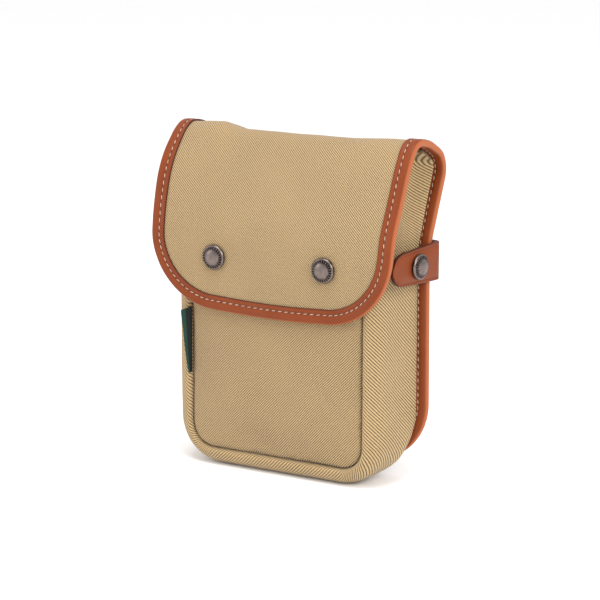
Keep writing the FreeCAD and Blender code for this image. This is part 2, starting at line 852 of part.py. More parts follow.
def write_parts():
    os.makedirs("parts", exist_ok=True)
    whole = FreeCAD.BoundBox()
    for name, item in nodes.items():
        item.Shape.exportStep("parts/%s.step" % name)
        whole.add(item.Shape.BoundBox)
    print("nodes", len(nodes), "box", whole)
    print("rear hinge", hinge_point(rear_cut, CREST, REAR_CORNER))
    print("front hinge", hinge_point(front_cut, FLAP_BEND, CREST))
    for word, side in SIDES:
        out = strap_outward(side)
        reach = size("strap_thickness") / 2.0 + HINGE_PROUD
        hinge_x = strap_at(side, STRAP_CUT_Y) + out[0] * reach
        print("strap hinge", word, hinge_x, STRAP_CUT_Y + out[1] * reach)


check_document()
write_parts()
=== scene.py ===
import json
import math

import bmesh
import bpy
from mathutils import Matrix, Vector, noise


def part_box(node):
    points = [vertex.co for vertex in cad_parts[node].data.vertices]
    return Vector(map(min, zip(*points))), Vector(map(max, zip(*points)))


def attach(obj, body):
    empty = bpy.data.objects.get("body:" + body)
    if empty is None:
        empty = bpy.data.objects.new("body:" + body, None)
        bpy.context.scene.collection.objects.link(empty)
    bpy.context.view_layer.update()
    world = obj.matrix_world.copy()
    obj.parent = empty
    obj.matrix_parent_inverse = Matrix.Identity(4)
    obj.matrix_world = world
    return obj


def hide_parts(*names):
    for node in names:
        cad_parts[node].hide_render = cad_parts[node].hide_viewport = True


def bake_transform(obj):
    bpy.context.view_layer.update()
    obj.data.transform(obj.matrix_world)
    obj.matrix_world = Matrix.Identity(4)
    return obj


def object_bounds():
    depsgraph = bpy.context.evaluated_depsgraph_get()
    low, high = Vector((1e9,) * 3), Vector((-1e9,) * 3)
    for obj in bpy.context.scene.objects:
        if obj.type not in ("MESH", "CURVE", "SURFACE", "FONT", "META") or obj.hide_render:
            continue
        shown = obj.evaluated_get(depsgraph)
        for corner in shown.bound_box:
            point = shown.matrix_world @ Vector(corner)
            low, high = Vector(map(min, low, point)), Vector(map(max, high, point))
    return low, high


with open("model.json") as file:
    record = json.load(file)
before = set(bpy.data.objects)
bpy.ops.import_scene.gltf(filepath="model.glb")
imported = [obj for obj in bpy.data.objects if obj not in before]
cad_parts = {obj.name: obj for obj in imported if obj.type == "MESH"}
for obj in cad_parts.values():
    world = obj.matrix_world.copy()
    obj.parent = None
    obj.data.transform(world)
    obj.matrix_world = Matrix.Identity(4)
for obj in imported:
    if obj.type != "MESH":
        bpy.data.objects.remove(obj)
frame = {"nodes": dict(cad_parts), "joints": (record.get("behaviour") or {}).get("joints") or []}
cad_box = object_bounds()
cad = frame["nodes"]
hinges = {joint["name"]: Vector(joint["pos_m"]) for joint in frame["joints"]}
mm = 0.001


# ---------------------------------------------------------------------------
# Camera, floor and lights. The pouch stands on a plain pale floor, seen from its right front
# and a little above, under soft studio light.

LIGHT_WIDTH = 0.6
FLOOR_SIZE = 200.0


def area_light(name, place, aim, power):
    lamp = bpy.data.lights.new(name, "AREA")
    lamp.size = LIGHT_WIDTH
    lamp.energy = power
    holder = bpy.data.objects.new(name, lamp)
    holder.location = place
    holder.rotation_euler = (Vector(aim) - Vector(place)).to_track_quat("-Z", "Y").to_euler()
    bpy.context.scene.collection.objects.link(holder)


def studio():
    aim = Vector((3.7 * mm, -0.9 * mm, cad_box[1][2] / 2 + 1.0 * mm))
    azimuth, elevation, distance = math.radians(31.0), math.radians(12.7), 1.4213
    back = Vector((
        math.sin(azimuth) * math.cos(elevation),
        -math.cos(azimuth) * math.cos(elevation),
        math.sin(elevation),
    ))
    lens = bpy.data.cameras.new("camera")
    lens.lens = 145.0
    lens.sensor_width = 36.0
    camera = bpy.data.objects.new("camera", lens)
    camera.location = aim + back * distance
    camera.rotation_euler = back.to_track_quat("Z", "Y").to_euler()
    bpy.context.scene.collection.objects.link(camera)
    bpy.context.scene.camera = camera

    world = bpy.data.worlds.new("studio")
    world.use_nodes = True
    world.node_tree.nodes["Background"].inputs["Color"].default_value = (1.0, 1.0, 1.0, 1.0)
    world.node_tree.nodes["Background"].inputs["Strength"].default_value = 1.0
    bpy.context.scene.world = world
    bpy.context.scene.view_settings.view_transform = "Standard"

    middle = (0.0, 0.0, 0.1)
    area_light("key", (1.0, -0.55, 0.75), middle, 9.5)
    area_light("fill", (-0.95, -0.75, 0.45), middle, 3.1)
    area_light("top", (0.1, -0.25, 1.2), middle, 8.0)
    area_light("front", (0.35, -1.3, 0.12), middle, 1.5)

    bm = bmesh.new()
    bmesh.ops.create_grid(bm, x_segments=1, y_segments=1, size=FLOOR_SIZE)
    mesh = bpy.data.meshes.new("floor")
    bm.to_mesh(mesh)
    bm.free()
    floor = bpy.data.objects.new("floor", mesh)
    bpy.context.scene.collection.objects.link(floor)
    paint = bpy.data.materials.new("floor_paint")
    paint.use_nodes = True
    shader = paint.node_tree.nodes["Principled BSDF"]
    shader.inputs["Base Color"].default_value = (0.96, 0.96, 0.96, 1.0)
    shader.inputs["Roughness"].default_value = 0.8
    mesh.materials.append(paint)


studio()


# ---------------------------------------------------------------------------
# The long canvas sheet: khaki twill, laminated to a lining, that makes the flap, the top loop
# and the back in one run. It is cut flat with round corners and bent over. Two meshes share it,
# joined just above the front fold.

def new_material(name):
    material = bpy.data.materials.new(name)
    material.use_nodes = True
    tree = material.node_tree
    return material, tree, tree.nodes["Principled BSDF"]


def put(tree, kind, settings=None, **sockets):
    """Adds a node; a socket's name is written with underscores for its spaces."""
    node = tree.nodes.new(kind)
    for key, value in (settings or {}).items():
        setattr(node, key, value)
    for key, value in sockets.items():
        socket = node.inputs[int(key[1:])] if key[0] == "i" and key[1:].isdigit() \
            else node.inputs[key.replace("_", " ")]
        if isinstance(value, bpy.types.NodeSocket):
            tree.links.new(value, socket)
        else:
            socket.default_value = value
    return node


def sum_up(tree, operation, first, second=0.0, third=0.0):
    node = put(tree, "ShaderNodeMath", {"operation": operation}, i0=first, i1=second, i2=third)
    return node.outputs[0]


def blend_colours(tree, share, first, second):
    mix = put(tree, "ShaderNodeMix", {"data_type": "RGBA"})
    for socket, value in ((mix.inputs[0], share), (mix.inputs[6], first), (mix.inputs[7], second)):
        if isinstance(value, bpy.types.NodeSocket):
            tree.links.new(value, socket)
        else:
            socket.default_value = value
    return mix.outputs[2]


def ramp(tree, value, low, high):
    node = put(tree, "ShaderNodeMapRange", {"interpolation_type": "SMOOTHSTEP"},
               Value=value, From_Min=low, From_Max=high)
    return node.outputs[0]


def roughen(tree, shader, height, strength, depth):
    """Turns a height of 0 to 1 into relief on the surface."""
    bump = put(tree, "ShaderNodeBump", Height=height, Strength=strength, Distance=depth)
    tree.links.new(bump.outputs[0], shader.inputs["Normal"])


def twill(name, lean, light=(0.405, 0.280, 0.142, 1.0), pitch=1.1 * mm):
    """Ribs across the cloth's own flat coordinates, in metres; lean is the ribs' angle."""
    dark = (0.085, 0.053, 0.021, 1.0)
    material, tree, shader = new_material(name)
    flat = put(tree, "ShaderNodeUVMap", {"uv_map": "flat"}).outputs[0]
    parts = put(tree, "ShaderNodeSeparateXYZ", Vector=flat)
    across = sum_up(tree, "ADD",
                    sum_up(tree, "MULTIPLY", parts.outputs[0], -math.sin(lean)),
                    sum_up(tree, "MULTIPLY", parts.outputs[1], math.cos(lean)))
    along = sum_up(tree, "ADD",
                   sum_up(tree, "MULTIPLY", parts.outputs[0], math.cos(lean)),
                   sum_up(tree, "MULTIPLY", parts.outputs[1], math.sin(lean)))
    wander = put(tree, "ShaderNodeTexNoise", Vector=flat, Scale=180.0, Detail=2.0).outputs["Fac"]
    shift = sum_up(tree, "MULTIPLY", sum_up(tree, "SUBTRACT", wander, 0.5), 0.5 * mm)
    turns = sum_up(tree, "DIVIDE", sum_up(tree, "ADD", across, shift), pitch)
    wave = sum_up(tree, "SINE", sum_up(tree, "MULTIPLY", turns, math.tau))
    rib = sum_up(tree, "MULTIPLY_ADD", wave, 0.5, 0.5)
    step = sum_up(tree, "MULTIPLY", sum_up(tree, "FLOOR", turns), 2.1)
    yarn_turns = sum_up(tree, "MULTIPLY", along, math.tau / (0.8 * mm))
    yarn_wave = sum_up(tree, "SINE", sum_up(tree, "ADD", yarn_turns, step))
    yarn = sum_up(tree, "MULTIPLY_ADD", yarn_wave, 0.5, 0.5)
    height = sum_up(tree, "MULTIPLY", rib, sum_up(tree, "MULTIPLY_ADD", yarn, 0.12, 0.88))
    slub = put(tree, "ShaderNodeTexNoise", Vector=flat, Scale=900.0, Detail=3.0).outputs["Fac"]
    cloud = put(tree, "ShaderNodeTexNoise", Vector=flat, Scale=22.0, Detail=2.0).outputs["Fac"]
    lift = sum_up(tree, "ADD", sum_up(tree, "MULTIPLY", height, 0.8),
                  sum_up(tree, "MULTIPLY", sum_up(tree, "SUBTRACT", slub, 0.5), 0.5))
    share = ramp(tree, lift, -0.05, 0.62)
    colour = blend_colours(tree, share, dark, light)
    warm = (light[0] * 0.93, light[1] * 0.90, light[2] * 0.86, 1.0)
    cloud_share = sum_up(tree, "MULTIPLY", ramp(tree, cloud, 0.35, 0.65), 0.16)
    colour = blend_colours(tree, cloud_share, colour, warm)
    tree.links.new(colour, shader.inputs["Base Color"])
    shader.inputs["Roughness"].default_value = 0.82
    shader.inputs["Specular IOR Level"].default_value = 0.3
    shader.inputs["Sheen Weight"].default_value = 0.12
    shader.inputs["Sheen Roughness"].default_value = 0.5
    roughen(tree, shader, lift, 0.7, 0.4 * mm)
    return material


def plain_cloth(name, light, dark):
    """Tightly woven lining cloth: over and under threads on the flat coordinates."""
    material, tree, shader = new_material(name)
    flat = put(tree, "ShaderNodeUVMap", {"uv_map": "flat"}).outputs[0]
    parts = put(tree, "ShaderNodeSeparateXYZ", Vector=flat)
    rate = math.tau / (0.5 * mm)
    warp = sum_up(tree, "SINE", sum_up(tree, "MULTIPLY", parts.outputs[0], rate))
    weft = sum_up(tree, "SINE", sum_up(tree, "MULTIPLY", parts.outputs[1], rate))
    weave = sum_up(tree, "MULTIPLY_ADD", sum_up(tree, "MULTIPLY", warp, weft), 0.5, 0.5)
    fuzz = put(tree, "ShaderNodeTexNoise", Vector=flat, Scale=500.0, Detail=3.0).outputs["Fac"]
    share = ramp(tree, sum_up(tree, "ADD", sum_up(tree, "MULTIPLY", weave, 0.5),
                              sum_up(tree, "MULTIPLY", fuzz, 0.5)), 0.2, 0.8)
    tree.links.new(blend_colours(tree, share, dark, light), shader.inputs["Base Color"])
    shader.inputs["Roughness"].default_value = 0.75
    shader.inputs["Sheen Weight"].default_value = 0.1
    roughen(tree, shader, weave, 0.4, 0.15 * mm)
    return material


def rounded_line(corners):
    """Runs and tangent arcs through corners given as (x, y, radius)."""
    points = [Vector(corner[:2]) for corner in corners]
    pieces = []
    start = points[0]
    for i in range(1, len(points)):
        here, radius = points[i], corners[i][2]
        before = (points[i - 1] - here).normalized()
        if i == len(points) - 1 or radius <= 0:
            pieces.append(("run", start, here, (here - start).length))
            start = here
            continue
        after = (points[i + 1] - here).normalized()
        half = before.angle(after) / 2
        reach = radius / math.tan(half)
        bend_start, bend_end = here + before * reach, here + after * reach
        centre = here + (before + after).normalized() * (radius / math.sin(half))
        pieces.append(("run", start, bend_start, (bend_start - start).length))
        sweep = math.pi - 2 * half
        left_turn = (-before).cross(after) > 0
        pieces.append(("bend", centre, bend_start - centre, radius * sweep, sweep if left_turn else -sweep))
        start = bend_end
    return pieces


def line_length(pieces):
    return sum(piece[3] for piece in pieces)


def walk(pieces, distance):
    """The point that far along the line, and the line's direction there."""
    for i, piece in enumerate(pieces):
        last = i == len(pieces) - 1
        if distance > piece[3] and not last:
            distance -= piece[3]
            continue
        if piece[0] == "run":
            direction = (piece[2] - piece[1]).normalized()
            return piece[1] + direction * distance, direction
        arm, sweep = piece[2], piece[4]
        turned = Matrix.Rotation(sweep * distance / piece[3], 2) @ arm
        side = 1 if sweep > 0 else -1
        direction = Vector((-turned.y, turned.x)).normalized() * side
        return piece[1] + turned, direction


CANVAS = 2.4 * mm
HALF_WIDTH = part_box("back_binding")[1].x
BACK_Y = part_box("back_panel")[0].y + CANVAS / 2
FLAP_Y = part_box("flap_front_panel")[0].y + CANVAS / 2
FLAP_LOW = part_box("flap_front_binding")[0].z
BACK_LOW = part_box("back_binding")[0].z + 1.2 * mm
# The sheet's line seen from the side, as (Y, height, bend radius): up the flap, over the front
# corner, down the slope of the top loop, round its rear corner and down the back.
FLAP_LEANS_AT, BACK_LEANS_AT = 0.147, 0.138
TOP_MIDDLE, REAR_CORNER = (0.0160, 0.1988), (0.0362, 0.1880)
SHEET_LINE = rounded_line([
    (FLAP_Y, FLAP_LOW, 0.0),
    (FLAP_Y, FLAP_LEANS_AT, 0.070),
    (-0.0042, 0.2048, 0.0110),
    (*TOP_MIDDLE, 0.0400),
    (*REAR_CORNER, 0.0125),
    (BACK_Y, BACK_LEANS_AT, 0.050),
    (BACK_Y, BACK_LOW, 0.0),
])
CREST_Y, CREST_HEIGHT = -0.0027, 0.2034
SHEET_LENGTH = line_length(SHEET_LINE)
FLAP_CORNER, FLAP_RISE = 44.0 * mm, 3.6 * mm
BACK_CORNER = 38.0 * mm


def nearest_along(point):
    """How far along the sheet's line it passes nearest to a point of the row frame."""
    goal = Vector((point.y, point.z))
    steps = 1200
    return min((SHEET_LENGTH * step / steps for step in range(steps + 1)),
               key=lambda t: (walk(SHEET_LINE, t)[0] - goal).length)


FRONT_FOLD = nearest_along(hinges["flap_drop"])
REAR_FOLD = nearest_along(hinges["flap_open"])
CREST = nearest_along(Vector((0, CREST_Y, CREST_HEIGHT)))
JOIN = FRONT_FOLD + 9.0 * mm
flap_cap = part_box("flap_snap_cap_right")
SNAP_X = (flap_cap[0].x + flap_cap[1].x) / 2
SNAP_ALONG = nearest_along(Vector((0, FLAP_Y, (flap_cap[0].z + flap_cap[1].z) / 2)))


def smooth_step(value, low, high):
    share = min(1.0, max(0.0, (value - low) / (high - low)))
    return share * share * (3 - 2 * share)


def bell(value, width):
    return math.exp(-(value / width) ** 2)


def sheet_relief(x, t):
    """How the soft sheet gives: the top sags between its stiff edges, the corners of the loop
    round over, the flap's face waves a little, and the snaps pull it in."""
    sag = smooth_step(x, -0.051, -0.038) * (1 - smooth_step(x, 0.035, 0.070))
    drop = -3.2 * mm * sag * bell(t - CREST - 3 * mm, 0.017)
    drop -= 1.2 * mm * sag * bell(t - REAR_FOLD, 0.016)
    bump = 0.9 * mm * bell(x + 0.060, 0.013) * bell(t - CREST, 0.012)
    left_end = smooth_step(-x, 0.045, 0.080)
    drop -= 3.6 * mm * left_end * bell(t - CREST + 0.003, 0.011)
    drop += 3.6 * mm * left_end * bell(t - CREST + 0.033, 0.019)
    right_end = smooth_step(x, 0.045, 0.080)
    drop -= 2.6 * mm * right_end * bell(t - CREST + 0.004, 0.012)
    drop -= 1.4 * mm * right_end * bell(t - CREST + 0.034, 0.024)
    inner = smooth_step(HALF_WIDTH - abs(x), 0.004, 0.030)
    belly = -0.7 * mm * bell(t - FRONT_FOLD + 0.006, 0.020) * inner
    wave = noise.noise(Vector((x * 28, t * 20, 3.1))) * 1.1 * mm * inner
    wave += noise.noise(Vector((x * 75, t * 60, 8.4))) * 0.28 * mm * inner
    dimple = 0.0
    for side in (-1, 1):
        dimple -= 0.7 * mm * bell(math.hypot(x - side * SNAP_X, t - SNAP_ALONG), 0.011)
    return drop + bump + belly + wave + dimple


def on_sheet(x, t, height=0.0):
    """A place on the bent sheet: x across, t along it from the flap's edge, height outwards."""
    point, direction = walk(SHEET_LINE, min(max(t, 0.0), SHEET_LENGTH + 0.01))
    outward = Vector((-direction.y, direction.x))
    raised = point + outward * (height + sheet_relief(x, t))
    spread = 1 + 0.012 * smooth_step(t, CREST, SHEET_LENGTH) - 0.008 * (1 - smooth_step(t, 0, CREST))
    return Vector((x * spread, raised.x, raised.y))


def round_corner(x, t, half, radius, end, inward):
    """Moves a point of a square grid so that the sheet's corners are round."""
    a = (abs(x) - (half - radius)) / radius
    b = ((end + inward * radius) - t) * inward / radius
    if a <= 0 or b <= 0:
        return x, t
    a, b = a * math.sqrt(1 - b * b / 2), b * math.sqrt(1 - a * a / 2)
    return math.copysign(half - radius + radius * a, x), end + inward * (radius - radius * b)


def grid_mesh(columns, rows):
    """A grid of unit size, with its flat coordinates still to be set."""
    bm = bmesh.new()
    bmesh.ops.create_grid(bm, x_segments=columns, y_segments=rows, size=0.5)
    return bm


def shape_grid(bm, place, flat):
    """Moves each grid point from its (u, v) share to place, and keeps flat as its coordinates."""
    layer = bm.loops.layers.uv.new("flat")
    shares = {vert: (vert.co.x + 0.5, vert.co.y + 0.5) for vert in bm.verts}
    flats = {vert: flat(*share) for vert, share in shares.items()}
    for face in bm.faces:
        for loop in face.loops:
            loop[layer].uv = flats[loop.vert]
    for vert, share in shares.items():
        vert.co = place(*share)


def back_with_lining(bm, thickness):
    """Thickens a sheet; its first face keeps the first material and the rest takes the second."""
    outside = set(bm.faces)
    bmesh.ops.solidify(bm, geom=bm.faces[:], thickness=thickness)
    for face in bm.faces:
        face.material_index = 0 if face in outside else 1


def new_piece(name, bm, *materials):
    mesh = bpy.data.meshes.new(name)
    bm.to_mesh(mesh)
    bm.free()
    mesh.polygons.foreach_set("use_smooth", [True] * len(mesh.polygons))
    mesh.set_sharp_from_angle(angle=math.radians(55))
    for material in materials:
        mesh.materials.append(material)
    piece = bpy.data.objects.new(name, mesh)
    bpy.context.scene.collection.objects.link(piece)
    return piece


def face_along(bm, direction):
    """Turns every face over if the sheet's first face looks away from direction."""
    bm.normal_update()
    facing = sum(face.normal.dot(direction) * face.calc_area() for face in bm.faces)
    if facing < 0:
        bmesh.ops.reverse_faces(bm, faces=bm.faces[:])


EDGE_INSET = 1.3 * mm


def canvas_part(name, low, high, corner, rows):
    """One mesh of the sheet between two distances along it, as a closed thin solid."""
    half = HALF_WIDTH - EDGE_INSET
    columns = 96

    def flat_place(u, v):
        x, t = (2 * u - 1) * half, low + (high - low) * v
        if corner == "flap":
            x, t = round_corner(x, t, half, FLAP_CORNER - EDGE_INSET, low, 1)
            t += FLAP_RISE * (x / half) ** 2 * (1 - smooth_step(t, 0.0, 0.05))
        else:
            x, t = round_corner(x, t, half, BACK_CORNER - EDGE_INSET, high, -1)
        return x, t

    bm = grid_mesh(columns, rows)
    shape_grid(bm, lambda u, v: on_sheet(*flat_place(u, v), CANVAS / 2), flat_place)
    outward = on_sheet(0, (low + high) / 2, 1.0) - on_sheet(0, (low + high) / 2, 0.0)
    face_along(bm, outward)
    back_with_lining(bm, CANVAS)
    return new_piece(name, bm, flap_twill, sheet_lining)


flap_twill = twill("flap_twill", math.radians(-42))
sheet_lining = plain_cloth("sheet_lining", (0.22, 0.150, 0.072, 1.0), (0.14, 0.094, 0.044, 1.0))


def bends_at_front(piece):
    """Bakes the piece's place into its mesh; it is not bent at the front fold."""
    start = on_sheet(0, FRONT_FOLD + 8 * mm)
    end = on_sheet(0, FRONT_FOLD - 10 * mm)
    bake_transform(piece)


def bends_at_rear(piece):
    """Bakes the piece's place into its mesh; it is not bent round the loop's rear corner."""
    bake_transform(piece)


front_canvas = canvas_part("flap_canvas", EDGE_INSET, JOIN, "flap", rows=110)
back_canvas = canvas_part("back_canvas", JOIN, SHEET_LENGTH - EDGE_INSET, "back", rows=150)
bends_at_front(front_canvas)
bends_at_rear(back_canvas)
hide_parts("flap_front_panel")
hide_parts("back_panel", "flap_top_panel")


# ---------------------------------------------------------------------------
# The binding: tan bridle leather folded over the sheet's edge, glued, and saddle stitched
# through both faces. Its cut edges are dyed and burnished darker.

def object_noise(tree, scale, detail):
    """Noise in the row frame's own metres, fixed to the piece."""
    place = put(tree, "ShaderNodeTexCoord").outputs["Object"]
    return put(tree, "ShaderNodeTexNoise", Vector=place, Scale=scale, Detail=detail).outputs["Fac"]


def hide(name):
    """Smooth tan leather: fine pores, soft mottling, darker dyed edges and a lighter rim, which is a
    painted highlight.
    """
    light, dyed = (0.186, 0.040, 0.0105, 1.0), (0.055, 0.014, 0.008, 1.0)
    shade = (light[0] * 0.86, light[1] * 0.80, light[2] * 0.75, 1.0)
    # The lighter colour on the binding's rim is a painted highlight where the rounded fold catches the
    # light.
    rim_highlight_colour = (0.42, 0.125, 0.045, 1.0)
    material, tree, shader = new_material(name)
    place = put(tree, "ShaderNodeTexCoord").outputs["Object"]
    mottle = object_noise(tree, 55.0, 4.0)
    grain = object_noise(tree, 700.0, 4.0)
    pores = put(tree, "ShaderNodeTexVoronoi", {"feature": "F1"}, Vector=place, Scale=1100.0)
    pit = ramp(tree, pores.outputs["Distance"], 0.05, 0.45)
    tone = ramp(tree, sum_up(tree, "ADD", sum_up(tree, "MULTIPLY", mottle, 0.7),
                             sum_up(tree, "MULTIPLY", grain, 0.3)), 0.32, 0.66)
    body = blend_colours(tree, tone, shade, light)
    edge = put(tree, "ShaderNodeAttribute", {"attribute_name": "dyed_edge"}).outputs["Fac"]
    wear_and_rim_highlight = put(tree, "ShaderNodeAttribute", {"attribute_name": "painted_rim_highlight"}).outputs["Fac"]
    colour = blend_colours(tree, edge, body, dyed)
    # Mixes in the painted highlight along the rim.
    colour = blend_colours(tree, wear_and_rim_highlight, colour, rim_highlight_colour)
    tree.links.new(colour, shader.inputs["Base Color"])
    rough = sum_up(tree, "MULTIPLY_ADD", grain, 0.22, 0.32)
    tree.links.new(rough, shader.inputs["Roughness"])
    shader.inputs["Specular IOR Level"].default_value = 0.13
    shader.inputs["Coat Weight"].default_value = 0.03
    shader.inputs["Coat Roughness"].default_value = 0.38
    skin = sum_up(tree, "ADD", sum_up(tree, "MULTIPLY", pit, 0.5), sum_up(tree, "MULTIPLY", grain, 0.5))
    roughen(tree, shader, skin, 0.35, 0.12 * mm)
    return material


def thread_material(name, light, dark):
    """Waxed thread: two plies twisted round each other."""
    material, tree, shader = new_material(name)
    tone = object_noise(tree, 400.0, 3.0)
    tree.links.new(blend_colours(tree, ramp(tree, tone, 0.3, 0.7), dark, light),
                   shader.inputs["Base Color"])
    shader.inputs["Roughness"].default_value = 0.55
    ply = object_noise(tree, 2500.0, 2.0)
    roughen(tree, shader, ply, 0.4, 0.1 * mm)
    return material


tan_leather = hide("tan_leather")
cream_thread = thread_material("cream_thread", (0.50, 0.37, 0.27, 1.0), (0.36, 0.24, 0.165, 1.0))
# Dark brown for the spots at the needle holes: painted shade of the holes.
hole_shade = thread_material("hole_shade", (0.055, 0.016, 0.009, 1.0), (0.03, 0.009, 0.006, 1.0))

STITCH_INSET = 5.7 * mm
STITCH_PITCH, STITCH_LENGTH, STITCH_SLANT = 4.25 * mm, 2.75 * mm, 0.12
THREAD_RADIUS = 0.27 * mm
HOLE_DEPTH = 0.16 * mm
# Half of the folded leather's section, from its cut edge on the face to the middle of the rim:
# (mm in from the rim, mm above the middle of the sheet, how dyed it is; below 0 it gets the painted
# highlight on the rim).
HALF_SECTION = [
    (9.00, 1.15, 1.0), (9.05, 1.75, 1.0), (8.90, 2.10, 1.0), (8.55, 2.28, 0.25), (7.9, 2.34, 0.0),
    (6.9, 2.30, 0.0), (6.2, 2.02, 0.30), (5.3, 2.02, 0.30), (4.7, 2.32, 0.0), (3.6, 2.44, 0.0),
    (2.2, 2.42, 0.0), (1.2, 2.22, 0.0), (0.55, 1.75, -0.6), (0.15, 1.05, -1.0), (0.0, 0.35, -1.0),
]


def binding_section():
    outer = [(d * mm, h * mm, dye) for d, h, dye in HALF_SECTION]
    inner = [(d, -h, dye) for d, h, dye in reversed(outer)]
    slot = [(1.4 * mm, -1.15 * mm, 0.0), (1.4 * mm, 1.15 * mm, 0.0)]
    return outer + inner + slot + outer[:1]


FLAP_EDGE = rounded_line([
    (-HALF_WIDTH, JOIN, 0.0), (-HALF_WIDTH, FLAP_RISE, FLAP_CORNER), (0.0, 0.0, 0.600),
    (HALF_WIDTH, FLAP_RISE, FLAP_CORNER), (HALF_WIDTH, JOIN, 0.0),
])
BACK_EDGE = rounded_line([
    (HALF_WIDTH, JOIN, 0.0), (HALF_WIDTH, SHEET_LENGTH, BACK_CORNER),
    (-HALF_WIDTH, SHEET_LENGTH, BACK_CORNER), (-HALF_WIDTH, JOIN, 0.0),
])


def beside_edge(edge, distance, inset, height):
    """A place on the sheet, found by following its edge and stepping in from it."""
    point, direction = walk(edge, distance)
    inward = Vector((-direction.y, direction.x))
    flat = point + inward * inset
    return on_sheet(flat.x, flat.y, height)


def folded_binding(name, edge, steps):
    section = binding_section()
    length = line_length(edge)
    bm = grid_mesh(steps, len(section) - 1)
    dye = bm.verts.layers.float.new("dyed_edge")
    wear_and_highlight = bm.verts.layers.float.new("painted_rim_highlight")
    for vert in bm.verts:
        u, v = vert.co.x + 0.5, vert.co.y + 0.5
        inset, height, dyed = section[round(v * (len(section) - 1))]
        wobble = noise.noise(Vector((u * length * 60, inset * 90, 5.0))) * 0.10 * mm
        vert.co = beside_edge(edge, u * length, inset, height + math.copysign(wobble, height))
        vert[dye] = max(0.0, dyed)
        # Below 0 in the section, the rim gets its share of the painted highlight.
        vert[wear_and_highlight] = max(0.0, -dyed) * 0.7
    bmesh.ops.remove_doubles(bm, verts=bm.verts[:], dist=0.002 * mm)
    bmesh.ops.holes_fill(bm, edges=bm.edges[:], sides=0)
    bmesh.ops.recalc_face_normals(bm, faces=bm.faces[:])
    return new_piece(name, bm, tan_leather)


def one_stitch(bm, matrix, half_length, radius, index):
    made = bmesh.ops.create_uvsphere(bm, u_segments=8, v_segments=6, radius=1.0)
    size = Matrix.Diagonal((half_length, radius, radius * 0.8, 1.0))
    bmesh.ops.transform(bm, matrix=matrix @ size, verts=made["verts"])
    for vert in made["verts"]:
        for face in vert.link_faces:
            face.material_index = index


def frame_at(here, ahead, outward):
    """A matrix with x along the seam, z out of the surface, at here."""
    x_axis = (ahead - here).normalized()
    z_axis = (outward - x_axis * outward.dot(x_axis)).normalized()
    y_axis = z_axis.cross(x_axis)
    turned = Matrix((x_axis, y_axis, z_axis)).transposed().to_4x4()
    turned.translation = here
    return turned


def seam(name, place, length):
    """Saddle stitches along place(distance, height), with a dark spot after each: painted shade of its
    needle hole.
    """
    bm = bmesh.new()
    count = int(length / STITCH_PITCH)
    look_ahead = 0.4 * mm
    for i in range(count):
        middle = (i + 0.5) * length / count
        here = place(middle, 0.0)
        outward = place(middle, 1.0 * mm) - here
        stitch = frame_at(here, place(middle + look_ahead, 0.0), outward)
        stitch = stitch @ Matrix.Rotation(STITCH_SLANT, 4, "Z")
        one_stitch(bm, stitch, STITCH_LENGTH / 2, THREAD_RADIUS, 0)
        after = middle + STITCH_PITCH / 2
        # A small dark spot, the painted shade of the needle hole.
        hole_shade_frame = frame_at(place(after, -HOLE_DEPTH), place(after + look_ahead, -HOLE_DEPTH), outward)
        one_stitch(bm, hole_shade_frame, 0.42 * mm, 0.34 * mm, 1)
    return new_piece(name, bm, cream_thread, hole_shade)


FACE_SEAM_HEIGHT = 2.08 * mm


def binding_seam(name, edge, face):
    """The row of stitches on one face of the binding; face is 1 outside and -1 inside."""
    return seam(name, lambda d, h: beside_edge(edge, d, STITCH_INSET, face * (FACE_SEAM_HEIGHT + h)),
                line_length(edge))


flap_binding = folded_binding("flap_binding", FLAP_EDGE, 300)
back_binding = folded_binding("back_edge_binding", BACK_EDGE, 420)
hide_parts("flap_front_binding")
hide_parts("back_binding", "flap_top_binding_left", "flap_top_binding_right")
bends_at_front(flap_binding)
bends_at_rear(back_binding)
for face, word in ((1, "outer"), (-1, "inner")):
    flap_row = binding_seam("flap_stitching_" + word, FLAP_EDGE, face)
    back_row = binding_seam("back_stitching_" + word, BACK_EDGE, face)
    bends_at_front(flap_row)
    bends_at_rear(back_row)


# ---------------------------------------------------------------------------
# The gusset: one long strip of twill that makes both sides and the base. It is sewn to the back
# beside the binding, rolls round to the front and turns in at the front seam. Above the mouth
# its ends stand up under the top loop, with a soft pleat folded inwards.

# The strip's section on a side, from the back seam to the front seam, in mm: (half width, Y).
SIDE_SECTION = [
    (75.6, 10.6), (75.0, 8.2), (73.4, 3.0), (72.0, -4.0), (71.0, -11.0), (69.8, -16.0),
    (67.4, -20.3), (64.2, -23.0), (61.2, -24.2), (59.1, -23.4), (58.4, -20.4),
]
# The same places on the base: (height, Y), and the radius of the corner between the two.
BASE_SECTION = [
    (13.2, 10.4), (8.6, 9.6), (2.2, 6.4), (0.15, 0.0), (0.0, -7.0), (0.1, -13.0),
    (1.4, -18.4), (4.2, -22.1), (7.6, -24.1), (10.0, -23.5), (10.9, -20.4),
]
CORNER_RADII = [27.0, 28.0, 30.0, 31.0, 31.0, 29.0, 26.0, 21.5, 17.5, 15.5, 15.0]
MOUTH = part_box("front_panel")[1].z
GUSSET_WALL = 1.8 * mm
GUSSET_TOP = 193.5 * mm
# The strip starts to lean after the sheet at the first height, and its ears are loose above them.
LEAN_HEIGHTS, EAR_HEIGHTS = (0.125, 0.150), (0.138, 0.165)
PLEAT_DEPTH, EAR_SLACK = 7.5 * mm, 5.0 * mm
side_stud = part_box("side_stud_right")
SIDE_SNAP = (side_stud[0] + side_stud[1]) / 2


